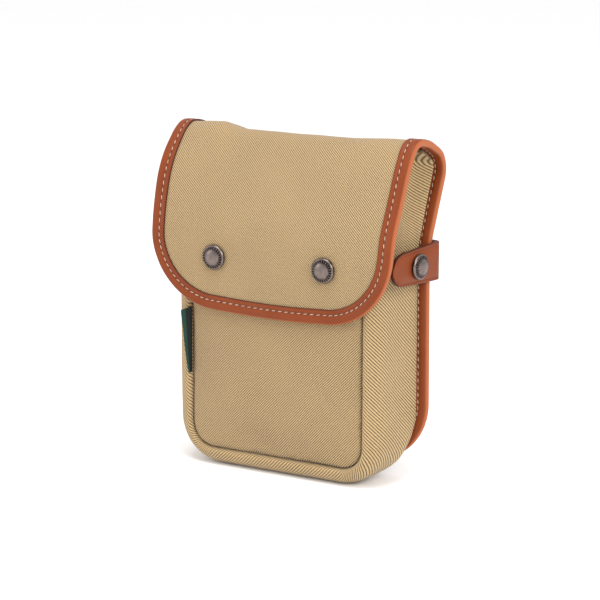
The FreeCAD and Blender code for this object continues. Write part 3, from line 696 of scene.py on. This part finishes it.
def through(points, share):
    """A smooth value through evenly spaced points; share runs from 0 to 1."""
    spot = min(max(share, 0.0), 1.0) * (len(points) - 1)
    i = min(int(spot), len(points) - 2)
    f = spot - i
    p1, p2 = points[i], points[i + 1]
    p0 = points[i - 1] if i > 0 else 2 * p1 - p2
    p3 = points[i + 2] if i + 2 < len(points) else 2 * p2 - p1
    return 0.5 * (2 * p1 + (p2 - p0) * f + (2 * p0 - 5 * p1 + 4 * p2 - p3) * f * f
                  + (3 * p1 - p0 - 3 * p2 + p3) * f ** 3)


def sheet_inside(z, front):
    """Y of the sheet's inner face at a height, in front of or behind the pouch."""
    if front:
        slope = (CREST_HEIGHT - FLAP_LEANS_AT) / (CREST_Y - FLAP_Y)
        return FLAP_Y + max(0.0, z - FLAP_LEANS_AT) / slope + 4.6 * mm
    slope = (0.1892 - BACK_LEANS_AT) / (0.0346 - BACK_Y)
    leaning = BACK_Y + max(0.0, z - BACK_LEANS_AT + 0.5 * mm) / slope - 2.5 * mm
    run, rise = REAR_CORNER[0] - TOP_MIDDLE[0], TOP_MIDDLE[1] - REAR_CORNER[1]
    under_top = REAR_CORNER[0] - (z + 5 * mm - REAR_CORNER[1]) / rise * run
    return min(leaning, under_top)


def gusset_place(u, v):
    """u runs up the left side, along the base and up the right side; v from back to front."""
    half = through([p[0] for p in SIDE_SECTION], v) * mm
    side_y = through([p[1] for p in SIDE_SECTION], v) * mm
    base_z = max(0.0, through([p[0] for p in BASE_SECTION], v)) * mm
    base_y = through([p[1] for p in BASE_SECTION], v) * mm
    radius = through(CORNER_RADII, v) * mm
    top = GUSSET_TOP - 0.030 * smooth_step(v, 0.25, 1.0)
    line = rounded_line([
        (-half, top, 0.0), (-half, base_z, radius), (half, base_z, radius), (half, top, 0.0),
    ])
    point, direction = walk(line, u * line_length(line))
    x, z = point
    side_share = smooth_step(abs(x) - (half - radius), 0.0, radius)
    rise = smooth_step(z, base_z, base_z + radius) * side_share
    y = base_y + (side_y - base_y) * rise
    front_y, back_y = -23.7 * mm, 10.6 * mm
    high_share = (y - front_y) / (back_y - front_y)
    high_front = max(front_y, sheet_inside(z, True))
    high_back = max(back_y, sheet_inside(z, False))
    lifted = smooth_step(z, *LEAN_HEIGHTS)
    y += ((high_front + (high_back - high_front) * high_share) - y) * lifted
    ear = smooth_step(z, *EAR_HEIGHTS)
    pleat = PLEAT_DEPTH * ear * bell(v - 0.22, 0.13) * side_share
    relax = EAR_SLACK * ear * smooth_step(v, 0.5, 1.0) * side_share
    x += math.copysign(1.0, x) * (relax - pleat)
    strap_tent = 0.6 * mm * bell(math.hypot(y - SIDE_SNAP.y, z - SIDE_SNAP.z), 0.016) * side_share
    ripple = noise.noise(Vector((x * 30, y * 45, z * 22))) * 1.0 * mm
    ripple += noise.noise(Vector((x * 80, y * 90, z * 60))) * 0.25 * mm
    ripple *= smooth_step(min(v, 1 - v), 0.0, 0.2) * smooth_step(z, 1 * mm, 14 * mm)
    outward = Vector((-direction.y, direction.x)) * -1
    x += outward.x * (ripple + strap_tent)
    z += outward.y * ripple
    return Vector((x, y, max(z, 0.0)))


gusset_twill = twill("gusset_twill", math.radians(45), light=(0.45, 0.315, 0.158, 1.0), pitch=1.5 * mm)


# How far each of the side section's points is from the back seam, along the section.
SECTION_RUN = [0.0]
for (half, y), (next_half, next_y) in zip(SIDE_SECTION, SIDE_SECTION[1:]):
    SECTION_RUN.append(SECTION_RUN[-1] + math.hypot(next_half - half, next_y - y))


# How far from the middle of the base the strip turns up into its sides.
CORNER_AT = 45 * mm


def gusset_flat(u, v):
    """The strip's own flat coordinates: across it from the back seam, and along it from its middle."""
    spot = gusset_place(u, v)
    side_y = through([p[1] for p in SIDE_SECTION], v) * mm
    across = through(SECTION_RUN, v) * mm + side_y - spot.y
    up_side = math.copysign(spot.z + CORNER_AT + 10 * mm, spot.x)
    turned = smooth_step(abs(spot.x), CORNER_AT, CORNER_AT + 15 * mm)
    return across, spot.x + (up_side - spot.x) * turned


def gusset():
    bm = grid_mesh(230, 48)
    shape_grid(bm, gusset_place, gusset_flat)
    bm.normal_update()
    low_faces = [face for face in bm.faces if face.calc_center_median().z < 2 * mm]
    if sum(face.normal.z for face in low_faces) > 0:
        bmesh.ops.reverse_faces(bm, faces=bm.faces[:])
    back_with_lining(bm, GUSSET_WALL)
    piece = new_piece("gusset_canvas", bm, gusset_twill, sheet_lining)
    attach(piece, "pouch")
    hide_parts("gusset")


gusset()


# ---------------------------------------------------------------------------
# The front panel: twill over thin foam, cut a little full so that it stands out in a pillow
# between its seams. Cloth simulation blows it out from the pinned seam.

PANEL_HALF = 58.3 * mm
PANEL_LOW = 11.0 * mm
PANEL_CORNER = 15.0 * mm
PANEL_SEAM_Y = -20.9 * mm
PANEL_WALL = 2.0 * mm
FLAP_COVERS = 118 * mm


def swell(piece, pinned, pressure, frames, cap):
    """Blows a cloth mesh out between its pinned points and keeps the shape it takes."""
    rest = [vert.co.copy() for vert in piece.data.vertices]
    group = piece.vertex_groups.new(name="pinned")
    group.add(pinned, 1.0, "REPLACE")
    cloth = piece.modifiers.new("cloth", "CLOTH")
    settings = cloth.settings
    settings.quality = 6
    settings.mass = 0.25
    settings.tension_stiffness = 18.0
    settings.compression_stiffness = 18.0
    settings.shear_stiffness = 9.0
    settings.bending_stiffness = 1.2
    settings.use_pressure = True
    settings.uniform_pressure_force = pressure
    settings.vertex_group_mass = "pinned"
    settings.effector_weights.gravity = 0.0
    settings.shrink_min = -0.004
    cloth.point_cache.frame_start = 1
    cloth.point_cache.frame_end = frames
    scene = bpy.context.scene
    for number in range(1, frames + 1):
        scene.frame_set(number)
    shown = piece.evaluated_get(bpy.context.evaluated_depsgraph_get())
    moved = [vert.co.copy() for vert in shown.data.vertices]
    piece.modifiers.remove(cloth)
    scene.frame_set(1)
    for vert, before, after in zip(piece.data.vertices, rest, moved):
        step = after - before
        vert.co = before + step * min(1.0, cap / max(step.length, 1e-9))


front_twill = twill("front_twill", math.radians(46))


def front_panel():
    def flat_place(u, v):
        x, z = (2 * u - 1) * PANEL_HALF, PANEL_LOW + (MOUTH - PANEL_LOW) * v
        return round_corner(x, z, PANEL_HALF, PANEL_CORNER, PANEL_LOW, 1)

    def edge_distance(x, z):
        a = abs(x) - (PANEL_HALF - PANEL_CORNER)
        b = (PANEL_LOW + PANEL_CORNER) - z
        if a > 0 and b > 0:
            return max(0.0, PANEL_CORNER - math.hypot(a, b))
        return max(0.0, min(PANEL_HALF - abs(x), z - PANEL_LOW))

    def place(u, v):
        x, z = flat_place(u, v)
        edge = edge_distance(x, z)
        short = 1 - min(1.0, edge / (3.4 * mm))
        roll = math.sqrt(1 - short * short) * 2.4 * mm
        full = 2.4 * mm * smooth_step(edge, 0.0, 30 * mm) * (1 - smooth_step(z, 0.080, 0.122))
        seam_wave = noise.noise(Vector((x * 40, z * 40, 1.7))) * 0.9 * mm
        seam_wave *= 1 - smooth_step(edge, 0, 0.02)
        return Vector((x + seam_wave * 0.4, PANEL_SEAM_Y - roll - full, z + seam_wave * 0.4))

    bm = grid_mesh(72, 84)
    shape_grid(bm, place, flat_place)
    face_along(bm, Vector((0, -1, 0)))
    piece = new_piece("front_panel_canvas", bm, front_twill, sheet_lining)
    mesh = piece.data
    pinned = [v.index for v in mesh.vertices
              if v.co.z > FLAP_COVERS or v.co.y > PANEL_SEAM_Y - 0.35 * mm]
    swell(piece, pinned, pressure=1.6, frames=18, cap=3.0 * mm)
    bm = bmesh.new()
    bm.from_mesh(mesh)
    back_with_lining(bm, PANEL_WALL)
    bm.to_mesh(mesh)
    bm.free()
    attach(piece, "pouch")
    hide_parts("front_panel")


front_panel()


# ---------------------------------------------------------------------------
# The side straps: tan leather cut with a round tip and a creased edge line, sewn behind the back
# panel, bent round its edge and snapped to the side. Each bends where it leaves the back.

STRAP_THICK = 2.6 * mm
STRAP_SEAT_Y = 17.8 * mm
STRAP_SIDE_X = 84.4 * mm
STRAP_LEAN = math.radians(6.0)
# The strap's section: (share of its half height, share of its half thickness, how dyed it is).
STRAP_SECTION = [
    (-1.0, 0.0, 1.0), (-0.995, 0.75, 1.0), (-0.965, 1.0, 0.2), (-0.87, 1.0, 0.0),
    (-0.84, 0.86, 0.45), (-0.81, 1.0, 0.0), (-0.3, 1.04, 0.0), (0.3, 1.04, 0.0), (0.81, 1.0, 0.0),
    (0.84, 0.86, 0.45), (0.87, 1.0, 0.0), (0.965, 1.0, 0.2), (0.995, 0.75, 1.0), (1.0, 0.0, 1.0),
    (0.995, -0.75, 1.0), (0.95, -1.0, 0.2), (0.0, -1.0, 0.0), (-0.95, -1.0, 0.2),
    (-0.995, -0.75, 1.0), (-1.0, 0.0, 1.0),
]


def close_leather(name, bm):
    """Joins a swept section's edges, caps its ends and gives it the leather."""
    bmesh.ops.remove_doubles(bm, verts=bm.verts[:], dist=0.003 * mm)
    bmesh.ops.holes_fill(bm, edges=bm.edges[:], sides=0)
    bmesh.ops.recalc_face_normals(bm, faces=bm.faces[:])
    return new_piece(name, bm, tan_leather)


def leather_strap(word, side):
    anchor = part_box("strap_anchor_" + word)
    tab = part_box("strap_tab_" + word)
    back_y = anchor[1].y - STRAP_THICK / 2 + 0.5 * mm
    inner_x = min(abs(anchor[0].x), abs(anchor[1].x))
    tip_y = tab[0].y - 0.2 * mm
    tip_x = STRAP_SIDE_X - math.tan(STRAP_LEAN) * (back_y - tip_y)
    line = rounded_line([
        (inner_x, STRAP_SEAT_Y, 0.0), (62 * mm, STRAP_SEAT_Y, 6 * mm), (71 * mm, back_y, 5 * mm),
        (STRAP_SIDE_X, back_y, 3.6 * mm), (tip_x, tip_y, 0.0),
    ])
    length = line_length(line)
    middle_z = (anchor[0].z + anchor[1].z) / 2
    root, narrow = 11.2 * mm, 9.4 * mm
    tip_run = 11.5 * mm
    cut_run = length - tip_run

    def half_height(d):
        taper = root + (narrow - root) * smooth_step(d, length * 0.45, length)
        if d > cut_run:
            return taper * max(0.0, 1 - ((d - cut_run) / tip_run) ** 2.3) ** 0.5
        return taper

    steps = len(STRAP_SECTION) - 1
    bm = grid_mesh(120, steps)
    dye = bm.verts.layers.float.new("dyed_edge")
    for vert in bm.verts:
        u, v = vert.co.x + 0.5, vert.co.y + 0.5
        share = u if u < 0.8 else 0.8 + 0.2 * math.sin((u - 0.8) / 0.2 * math.pi / 2)
        d = share * length
        across, out, dyed = STRAP_SECTION[round(v * steps)]
        point, direction = walk(line, d)
        outward = Vector((direction.y, -direction.x))
        if outward.dot(Vector((1.0, 1.0))) < 0:
            outward = -outward
        thin = STRAP_THICK / 2 * (1 if d < length - 0.5 * mm else 0.6)
        spot = point + outward * out * thin
        bulge = noise.noise(Vector((d * 60, across, side * 2.0))) * 0.15 * mm
        vert.co = (side * (spot.x + outward.x * bulge), spot.y + outward.y * bulge,
                   middle_z + across * half_height(d))
        vert[dye] = dyed
    piece = close_leather("side_strap_" + word, bm)
    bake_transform(piece)
    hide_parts("strap_anchor_" + word, "strap_tab_" + word)
    stitch_edge, turn = 2.4 * mm, 0.5 * mm
    near, far = inner_x + stitch_edge, inner_x + 13 * mm
    low, high = middle_z - root + stitch_edge, middle_z + root - stitch_edge
    stitched = rounded_line([
        (near, low, 0.0), (far, low, turn), (far, high, turn), (near, high, turn), (near, low, 0.0),
    ])

    def on_anchor(d, h):
        spot = walk(stitched, d)[0]
        return Vector((side * spot.x, STRAP_SEAT_Y + STRAP_THICK / 2 + h, spot.y))

    row = seam("strap_stitching_" + word, on_anchor, line_length(stitched))
    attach(row, "pouch")


for word, side in (("left", -1), ("right", 1)):
    leather_strap(word, side)


# ---------------------------------------------------------------------------
# Snap caps: pressed brass, antiqued to gunmetal and rubbed bright on the dome. A ring of small
# plain punch marks runs inside the rolled rim. The barrel goes through the sheet to the socket.

def cap_metal(name):
    material, tree, shader = new_material(name)
    wear_and_highlight = put(tree, "ShaderNodeAttribute", {"attribute_name": "wear_and_rim_highlight"}).outputs["Fac"]
    stain = object_noise(tree, 420.0, 5.0)
    stained = sum_up(tree, "MULTIPLY", sum_up(tree, "SUBTRACT", stain, 0.5), 0.9)
    share = ramp(tree, sum_up(tree, "ADD", wear_and_highlight, stained), 0.1, 0.95)
    colour = blend_colours(tree, share, (0.016, 0.011, 0.010, 1.0), (0.185, 0.145, 0.130, 1.0))
    tree.links.new(colour, shader.inputs["Base Color"])
    shader.inputs["Metallic"].default_value = 0.9
    rough = sum_up(tree, "MULTIPLY_ADD", stain, 0.20, 0.20)
    tree.links.new(rough, shader.inputs["Roughness"])
    scratch = object_noise(tree, 1500.0, 3.0)
    roughen(tree, shader, scratch, 0.25, 0.08 * mm)
    return material


gunmetal = cap_metal("gunmetal")
# Profile of a cap from its middle to its rim, in mm: (radius, height, how bright it is rubbed).
CAP_PROFILE = [
    (0.0, 3.55, 0.75), (1.6, 3.50, 0.8), (3.0, 3.32, 0.8), (4.0, 3.05, 0.7), (4.7, 2.72, 0.45),
    (5.1, 2.48, 0.1), (5.6, 2.34, 0.05), (6.2, 2.20, 0.1), (6.6, 2.12, 0.6), (7.1, 1.75, 0.85),
    (7.5, 1.10, 0.5), (7.4, 0.35, 0.1), (6.9, 0.02, 0.0), (2.2, 0.0, 0.0),
]
CAP_HEIGHT = 3.6 * mm
CAP_MARKS = 24


def snap_cap(name, node, body, outward):
    low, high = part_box(node)
    middle = (low + high) / 2
    bm = bmesh.new()
    wear_and_highlight = bm.verts.layers.float.new("wear_and_rim_highlight")
    verts = []
    for radius, height, bright in CAP_PROFILE:
        vert = bm.verts.new((radius * mm, 0.0, height * mm))
        vert[wear_and_highlight] = bright
        verts.append(vert)
    edges = [bm.edges.new(pair) for pair in zip(verts, verts[1:])]
    bmesh.ops.spin(bm, geom=verts + edges, cent=(0, 0, 0), axis=(0, 0, 1), angle=math.tau,
                   steps=96, use_merge=True)
    bmesh.ops.remove_doubles(bm, verts=bm.verts[:], dist=0.01 * mm)
    for vert in bm.verts:
        reach = math.hypot(vert.co.x, vert.co.y) / mm
        if 4.9 < reach < 6.4:
            raised = math.cos(math.atan2(vert.co.y, vert.co.x) * CAP_MARKS) > 0.2
            vert.co.z += (0.16 if raised else -0.05) * mm
            vert[wear_and_highlight] = 0.75 if raised else 0.0
    barrel = bmesh.ops.create_cone(bm, cap_ends=True, segments=24, radius1=1.9 * mm,
                                   radius2=1.9 * mm, depth=3.0 * mm)
    bmesh.ops.translate(bm, verts=barrel["verts"], vec=(0, 0, -1.2 * mm))
    bmesh.ops.recalc_face_normals(bm, faces=bm.faces[:])
    direction = Vector(outward).normalized()
    turned = direction.to_track_quat("Z", "Y").to_matrix().to_4x4()
    reach = high - middle
    depth = abs(reach.x) * abs(direction.x) + abs(reach.y) * abs(direction.y)
    turned.translation = middle + direction * (depth - CAP_HEIGHT)
    bmesh.ops.transform(bm, matrix=turned, verts=bm.verts[:])
    piece = new_piece(name, bm, gunmetal)
    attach(piece, body)
    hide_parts(node)


for word, side in (("left", -1), ("right", 1)):
    snap_cap("flap_cap_" + word, "flap_snap_cap_" + word, "flap_front", (0, -1, 0))
    snap_cap("strap_cap_" + word, "strap_snap_cap_" + word, "strap_" + word,
             (side * math.cos(STRAP_LEAN), -math.sin(STRAP_LEAN), 0))


# ---------------------------------------------------------------------------
# Sockets, studs and posts: plated spring steel and brass, riveted through the cloth. They keep
# their turned shapes and get a plain nickel finish, and so do the loop's rivets. The patches
# under the side studs are round scraps of the tan leather.

def nickel(name):
    material, tree, shader = new_material(name)
    haze = object_noise(tree, 600.0, 4.0)
    dull, bright = (0.24, 0.22, 0.19, 1.0), (0.42, 0.40, 0.36, 1.0)
    colour = blend_colours(tree, ramp(tree, haze, 0.3, 0.7), dull, bright)
    tree.links.new(colour, shader.inputs["Base Color"])
    shader.inputs["Metallic"].default_value = 0.95
    tree.links.new(sum_up(tree, "MULTIPLY_ADD", haze, 0.2, 0.22), shader.inputs["Roughness"])
    return material


plain_nickel = nickel("plain_nickel")
for name, node in cad.items():
    if any(word in name for word in ("socket", "stud_", "post", "rivets")):
        node.data.materials.clear()
        node.data.materials.append(tan_leather if "patch" in name else plain_nickel)


# ---------------------------------------------------------------------------
# Inside: foam sheets behind the front, back and base, a smooth lining tub over them whose hem is
# turned out to the walls, tape folded over the mouth, and a facing that backs the flap's sockets.

def foam_material(name):
    material, tree, shader = new_material(name)
    place = put(tree, "ShaderNodeTexCoord").outputs["Object"]
    cells = put(tree, "ShaderNodeTexVoronoi", Vector=place, Scale=900.0).outputs["Distance"]
    pore, face = (0.02, 0.02, 0.02, 1.0), (0.06, 0.06, 0.06, 1.0)
    colour = blend_colours(tree, ramp(tree, cells, 0.1, 0.6), pore, face)
    tree.links.new(colour, shader.inputs["Base Color"])
    shader.inputs["Roughness"].default_value = 0.9
    roughen(tree, shader, cells, 0.4, 0.2 * mm)
    return material


black_foam = foam_material("black_foam")


def flat_by_position(bm, first, second):
    """Flat coordinates for a nearly flat piece, from two of its own axes."""
    layer = bm.loops.layers.uv.new("flat")
    for face in bm.faces:
        for loop in face.loops:
            loop[layer].uv = (loop.vert.co[first], loop.vert.co[second])


def soft_board(name, node, material, round_to, lower=0.0):
    """A thin pad inside its CAD box, with soft edges; its top may be cut lower."""
    low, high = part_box(node)
    high = high - Vector((0, 0, lower))
    bm = bmesh.new()
    bmesh.ops.create_cube(bm, size=1.0)
    sizes, middle = high - low, (high + low) / 2
    bmesh.ops.scale(bm, vec=sizes, verts=bm.verts[:])
    thin = list(sizes).index(min(sizes))
    long_edges = [e for e in bm.edges
                  if abs((e.verts[0].co - e.verts[1].co)[thin]) > 0.5 * sizes[thin]]
    bmesh.ops.bevel(bm, geom=long_edges, offset=round_to, segments=8, profile=0.5,
                    affect="EDGES", material=-1)
    bmesh.ops.bevel(bm, geom=bm.edges[:], offset=sizes[thin] * 0.22, segments=2, profile=0.5,
                    affect="EDGES", material=-1)
    bmesh.ops.translate(bm, verts=bm.verts[:], vec=middle)
    bmesh.ops.triangulate(bm, faces=[f for f in bm.faces if len(f.verts) > 4])
    flat_by_position(bm, *[k for k in range(3) if k != thin])
    piece = new_piece(name, bm, material)
    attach(piece, "pouch")
    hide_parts(node)


soft_board("front_foam_pad", "front_foam", black_foam, 12 * mm)
soft_board("back_foam_pad", "back_foam", black_foam, 14 * mm, lower=6 * mm)
soft_board("base_foam_pad", "base_foam", black_foam, 5 * mm)


lining_cloth = plain_cloth("lining_cloth", (0.20, 0.135, 0.065, 1.0), (0.12, 0.082, 0.038, 1.0))


def lining_tub():
    low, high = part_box("lining")
    middle = (low + high) / 2
    half_x, half_y = (high.x - low.x) / 2 - 0.4 * mm, (high.y - low.y) / 2 - 0.4 * mm
    bm = bmesh.new()
    bmesh.ops.create_cube(bm, size=1.0)
    bmesh.ops.scale(bm, vec=(2 * half_x, 2 * half_y, high.z - low.z - 0.8 * mm), verts=bm.verts[:])
    bmesh.ops.translate(bm, verts=bm.verts[:], vec=middle)
    lid = [f for f in bm.faces if f.calc_center_median().z > high.z - 2 * mm]
    bmesh.ops.delete(bm, geom=lid, context="FACES")
    bmesh.ops.subdivide_edges(bm, edges=bm.edges[:], cuts=40, use_grid_fill=True)
    corner = 21 * mm
    for vert in bm.verts:
        over = abs(vert.co.x) - (half_x - corner)
        under = (low.z + corner) - vert.co.z
        if over > 0 and under > 0:
            a, b = over / corner, under / corner
            a, b = a * math.sqrt(1 - b * b / 2), b * math.sqrt(1 - a * a / 2)
            vert.co.x = math.copysign(half_x - corner + corner * a, vert.co.x)
            vert.co.z = low.z + corner - corner * b
        slack = noise.noise(vert.co * 30) * 0.5 * mm
        if abs(vert.co.x) < half_x - 4 * mm:
            vert.co.y -= math.copysign(abs(slack), vert.co.y - middle.y)
    bmesh.ops.recalc_face_normals(bm, faces=bm.faces[:])
    flat_by_position(bm, 0, 2)
    bmesh.ops.solidify(bm, geom=bm.faces[:], thickness=0.6 * mm)
    piece = new_piece("lining_tub", bm, lining_cloth)
    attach(piece, "pouch")
    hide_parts("lining")


lining_tub()


def round_rectangle(share, half_x, low_y, high_y):
    """A point on a rectangle's edge; the same share lies in the same direction on any of them."""
    runs = rounded_line([
        (0.0, low_y, 0.0), (half_x, low_y, 5 * mm), (half_x, high_y, 5 * mm),
        (-half_x, high_y, 5 * mm), (-half_x, low_y, 5 * mm), (0.0, low_y, 0.0),
    ])
    return walk(runs, share * line_length(runs))[0]


def mouth_collar():
    """The lining's hem, turned outwards and sewn to the walls, which closes in the foam."""
    wall_x, front_wall_y, back_wall_y = 69.5 * mm, -20.4 * mm, 14.2 * mm
    low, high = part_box("lining")
    bm = grid_mesh(160, 8)

    def place(u, v):
        inner = round_rectangle(u, high.x - 0.5 * mm, low.y + 0.5 * mm, high.y - 0.5 * mm)
        outer = round_rectangle(u, wall_x, front_wall_y, back_wall_y)
        spot = inner.lerp(outer, v)
        climb = 3.0 * mm * smooth_step(spot.y, 6 * mm, 14 * mm) - 1.2 * mm
        dip = -0.7 * mm * math.sin(math.pi * v)
        slack = noise.noise(Vector((spot.x * 40, spot.y * 40, 6.0))) * 0.4 * mm * v
        return Vector((spot.x, spot.y, high.z + climb + dip + slack))

    shape_grid(bm, place, lambda u, v: (u * 0.2, v * 0.01))
    bmesh.ops.remove_doubles(bm, verts=bm.verts[:], dist=0.01 * mm)
    face_along(bm, Vector((0, 0, 1)))
    bmesh.ops.solidify(bm, geom=bm.faces[:], thickness=0.6 * mm)
    piece = new_piece("mouth_collar", bm, lining_cloth)
    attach(piece, "pouch")


mouth_collar()


def folded_tape():
    low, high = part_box("mouth_tape")
    bm = grid_mesh(90, 16)
    half_fold = (high.y - low.y) / 2 + 0.35 * mm
    middle_y = (high.y + low.y) / 2 - 0.35 * mm
    drop = high.z - low.z

    def place(u, v):
        x = low.x + (high.x - low.x) * u
        turn = (v - 0.5) * 2
        leg = max(0.0, abs(turn) - 0.3) / 0.7
        angle = math.pi / 2 * min(1.0, abs(turn) / 0.3)
        y = middle_y + math.copysign(half_fold * math.sin(angle), turn)
        z = high.z - half_fold * (1 - math.cos(angle)) - (drop - half_fold) * leg
        sway = noise.noise(Vector((x * 50, v * 2, 0.3))) * 0.2 * mm
        return Vector((x, y + sway, z))

    shape_grid(bm, place, lambda u, v: (u * (high.x - low.x), v * 2 * drop))
    bmesh.ops.solidify(bm, geom=bm.faces[:], thickness=0.45 * mm)
    bmesh.ops.recalc_face_normals(bm, faces=bm.faces[:])
    piece = new_piece("mouth_tape_fold", bm, lining_cloth)
    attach(piece, "pouch")
    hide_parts("mouth_tape")


folded_tape()


def facing_patch():
    low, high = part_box("flap_facing")
    bm = grid_mesh(48, 14)
    half_x, half_z = (high.x - low.x) / 2, (high.z - low.z) / 2
    middle = (low + high) / 2
    corner = 6 * mm

    def place(u, v):
        x, z = (2 * u - 1) * half_x, (2 * v - 1) * half_z
        a, b = (abs(x) - (half_x - corner)) / corner, (abs(z) - (half_z - corner)) / corner
        if a > 0 and b > 0:
            a, b = a * math.sqrt(1 - b * b / 2), b * math.sqrt(1 - a * a / 2)
            x = math.copysign(half_x - corner + corner * a, x)
            z = math.copysign(half_z - corner + corner * b, z)
        edge = min(half_x - abs(x), half_z - abs(z))
        lift = 0.45 * mm * smooth_step(edge, 0, 2.5 * mm)
        return Vector((middle.x + x, low.y + 0.45 * mm + lift, middle.z + z))

    shape_grid(bm, place, lambda u, v: ((2 * u - 1) * half_x, (2 * v - 1) * half_z))
    face_along(bm, Vector((0, 1, 0)))
    bmesh.ops.solidify(bm, geom=bm.faces[:], thickness=0.5 * mm)
    piece = new_piece("flap_facing_patch", bm, lining_cloth)
    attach(piece, "flap_front")
    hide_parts("flap_facing")


facing_patch()


# ---------------------------------------------------------------------------
# The belt loop: a strip of the same tan leather, sewn flat at both ends and standing off the
# back between them, so that a belt slides behind it.

def leather_loop():
    low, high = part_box("belt_loop")
    thick = 2.0 * mm
    seat = low.y + thick / 2
    out = high.y - thick / 2
    line = rounded_line([
        (seat, low.z, 0.0), (seat, low.z + 11 * mm, 3 * mm), (out, low.z + 16 * mm, 4 * mm),
        (out, high.z - 16 * mm, 4 * mm), (seat, high.z - 11 * mm, 3 * mm), (seat, high.z, 0.0),
    ])
    length = line_length(line)
    half = (high.x - low.x) / 2
    section = [
        (-1.0, 0.0, 1.0), (-0.99, 0.85, 0.8), (-0.965, 1.0, 0.1), (-0.93, 1.0, 0.0), (-0.91, 0.86, 0.45),
        (-0.89, 1.0, 0.0), (0.0, 1.03, 0.0), (0.89, 1.0, 0.0), (0.91, 0.86, 0.45), (0.93, 1.0, 0.0),
        (0.965, 1.0, 0.1), (0.99, 0.85, 0.8), (1.0, 0.0, 1.0), (0.99, -0.85, 0.8), (0.0, -1.0, 0.0),
        (-0.99, -0.85, 0.8), (-1.0, 0.0, 1.0),
    ]
    bm = grid_mesh(110, len(section) - 1)
    dye = bm.verts.layers.float.new("dyed_edge")
    for vert in bm.verts:
        u, v = vert.co.x + 0.5, vert.co.y + 0.5
        across, outwards, dyed = section[round(v * (len(section) - 1))]
        point, direction = walk(line, u * length)
        spot = point + Vector((direction.y, -direction.x)) * outwards * thick / 2
        vert.co = (across * half, spot.x, spot.y)
        vert[dye] = max(dyed, 1.0 if u in (0.0, 1.0) else 0.0)
    piece = close_leather("belt_loop_leather", bm)
    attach(piece, "pouch")
    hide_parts("belt_loop")
    for word, height in (("low", low.z + 9 * mm), ("high", high.z - 9 * mm)):
        row = seam("loop_stitching_" + word,
                   lambda d, h: Vector((-half + 3 * mm + d, seat + thick / 2 + 0.05 * mm + h, height)),
                   2 * half - 6 * mm)
        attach(row, "pouch")


leather_loop()


# ---------------------------------------------------------------------------
# The label tab: forest green woven tape, folded double and caught in the left front seam. It is
# left plain; its half at the seam is darkened with painted shade.

def tape_material(name):
    material, tree, shader = new_material(name)
    flat = put(tree, "ShaderNodeUVMap", {"uv_map": "flat"}).outputs[0]
    parts = put(tree, "ShaderNodeSeparateXYZ", Vector=flat)
    ribs = sum_up(tree, "SINE", sum_up(tree, "MULTIPLY", parts.outputs[1], math.tau / (0.7 * mm)))
    warp = sum_up(tree, "SINE", sum_up(tree, "MULTIPLY", parts.outputs[0], math.tau / (0.5 * mm)))
    weave = sum_up(tree, "MULTIPLY_ADD", sum_up(tree, "ADD", ribs, sum_up(tree, "MULTIPLY", warp, 0.4)),
                   0.35, 0.5)
    dark, light = (0.0035, 0.018, 0.012, 1.0), (0.011, 0.054, 0.034, 1.0)
    # Near-black green for the half at the seam: painted shade of the fold that turns it away from the
    # light.
    painted_shade_green = (0.0022, 0.0055, 0.0042, 1.0)
    colour = blend_colours(tree, ramp(tree, weave, 0.1, 0.9), dark, light)
    # Mixes in the painted shade on the tape's half next to the seam.
    near = put(tree, "ShaderNodeAttribute", {"attribute_name": "painted_shade_share"}).outputs["Fac"]
    colour = blend_colours(tree, ramp(tree, near, 0.45, 0.6), colour, painted_shade_green)
    tree.links.new(colour, shader.inputs["Base Color"])
    shader.inputs["Roughness"].default_value = 0.7
    shader.inputs["Specular IOR Level"].default_value = 0.2
    roughen(tree, shader, weave, 0.5, 0.15 * mm)
    return material


green_tape = tape_material("green_tape")
LABEL_CUT = (0.0136, 0.040)


def label_tab():
    low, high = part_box("label_tab")
    root = Vector((high.x - 0.2 * mm, high.y - 0.9 * mm, 0))
    bm = grid_mesh(28, 44)

    def place(u, v):
        turn = (u - 0.5) * 2
        leg = 1 - abs(turn)
        reach = (high.x - low.x - 0.5 * mm) * (0.22 + 0.78 * v ** 0.85)
        gap = 0.5 * mm * math.copysign(math.sqrt(max(0.0, 1 - leg ** 6)), turn)
        forward = -0.9 * mm * leg + 1.6 * mm * leg * leg * v
        curl = noise.noise(Vector((v * 3, 0.2, 0.9))) * 0.6 * mm * leg
        z = low.z - 1 * mm + (high.z - low.z) * v - 3.2 * mm * leg * v
        return root + Vector((-reach * leg, forward + gap + curl, z))

    # Share of the painted shade: 1 at the seam, 0 at the outer fold.
    painted_shade_layer = bm.verts.layers.float.new("painted_shade_share")
    for vert in bm.verts:
        vert[painted_shade_layer] = abs(vert.co.x) * 2
    shape_grid(bm, place, lambda u, v: (u * LABEL_CUT[0], v * LABEL_CUT[1]))
    bmesh.ops.recalc_face_normals(bm, faces=bm.faces[:])
    bmesh.ops.solidify(bm, geom=bm.faces[:], thickness=0.35 * mm)
    piece = new_piece("green_label", bm, green_tape)
    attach(piece, "pouch")
    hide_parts("label_tab")


label_tab()
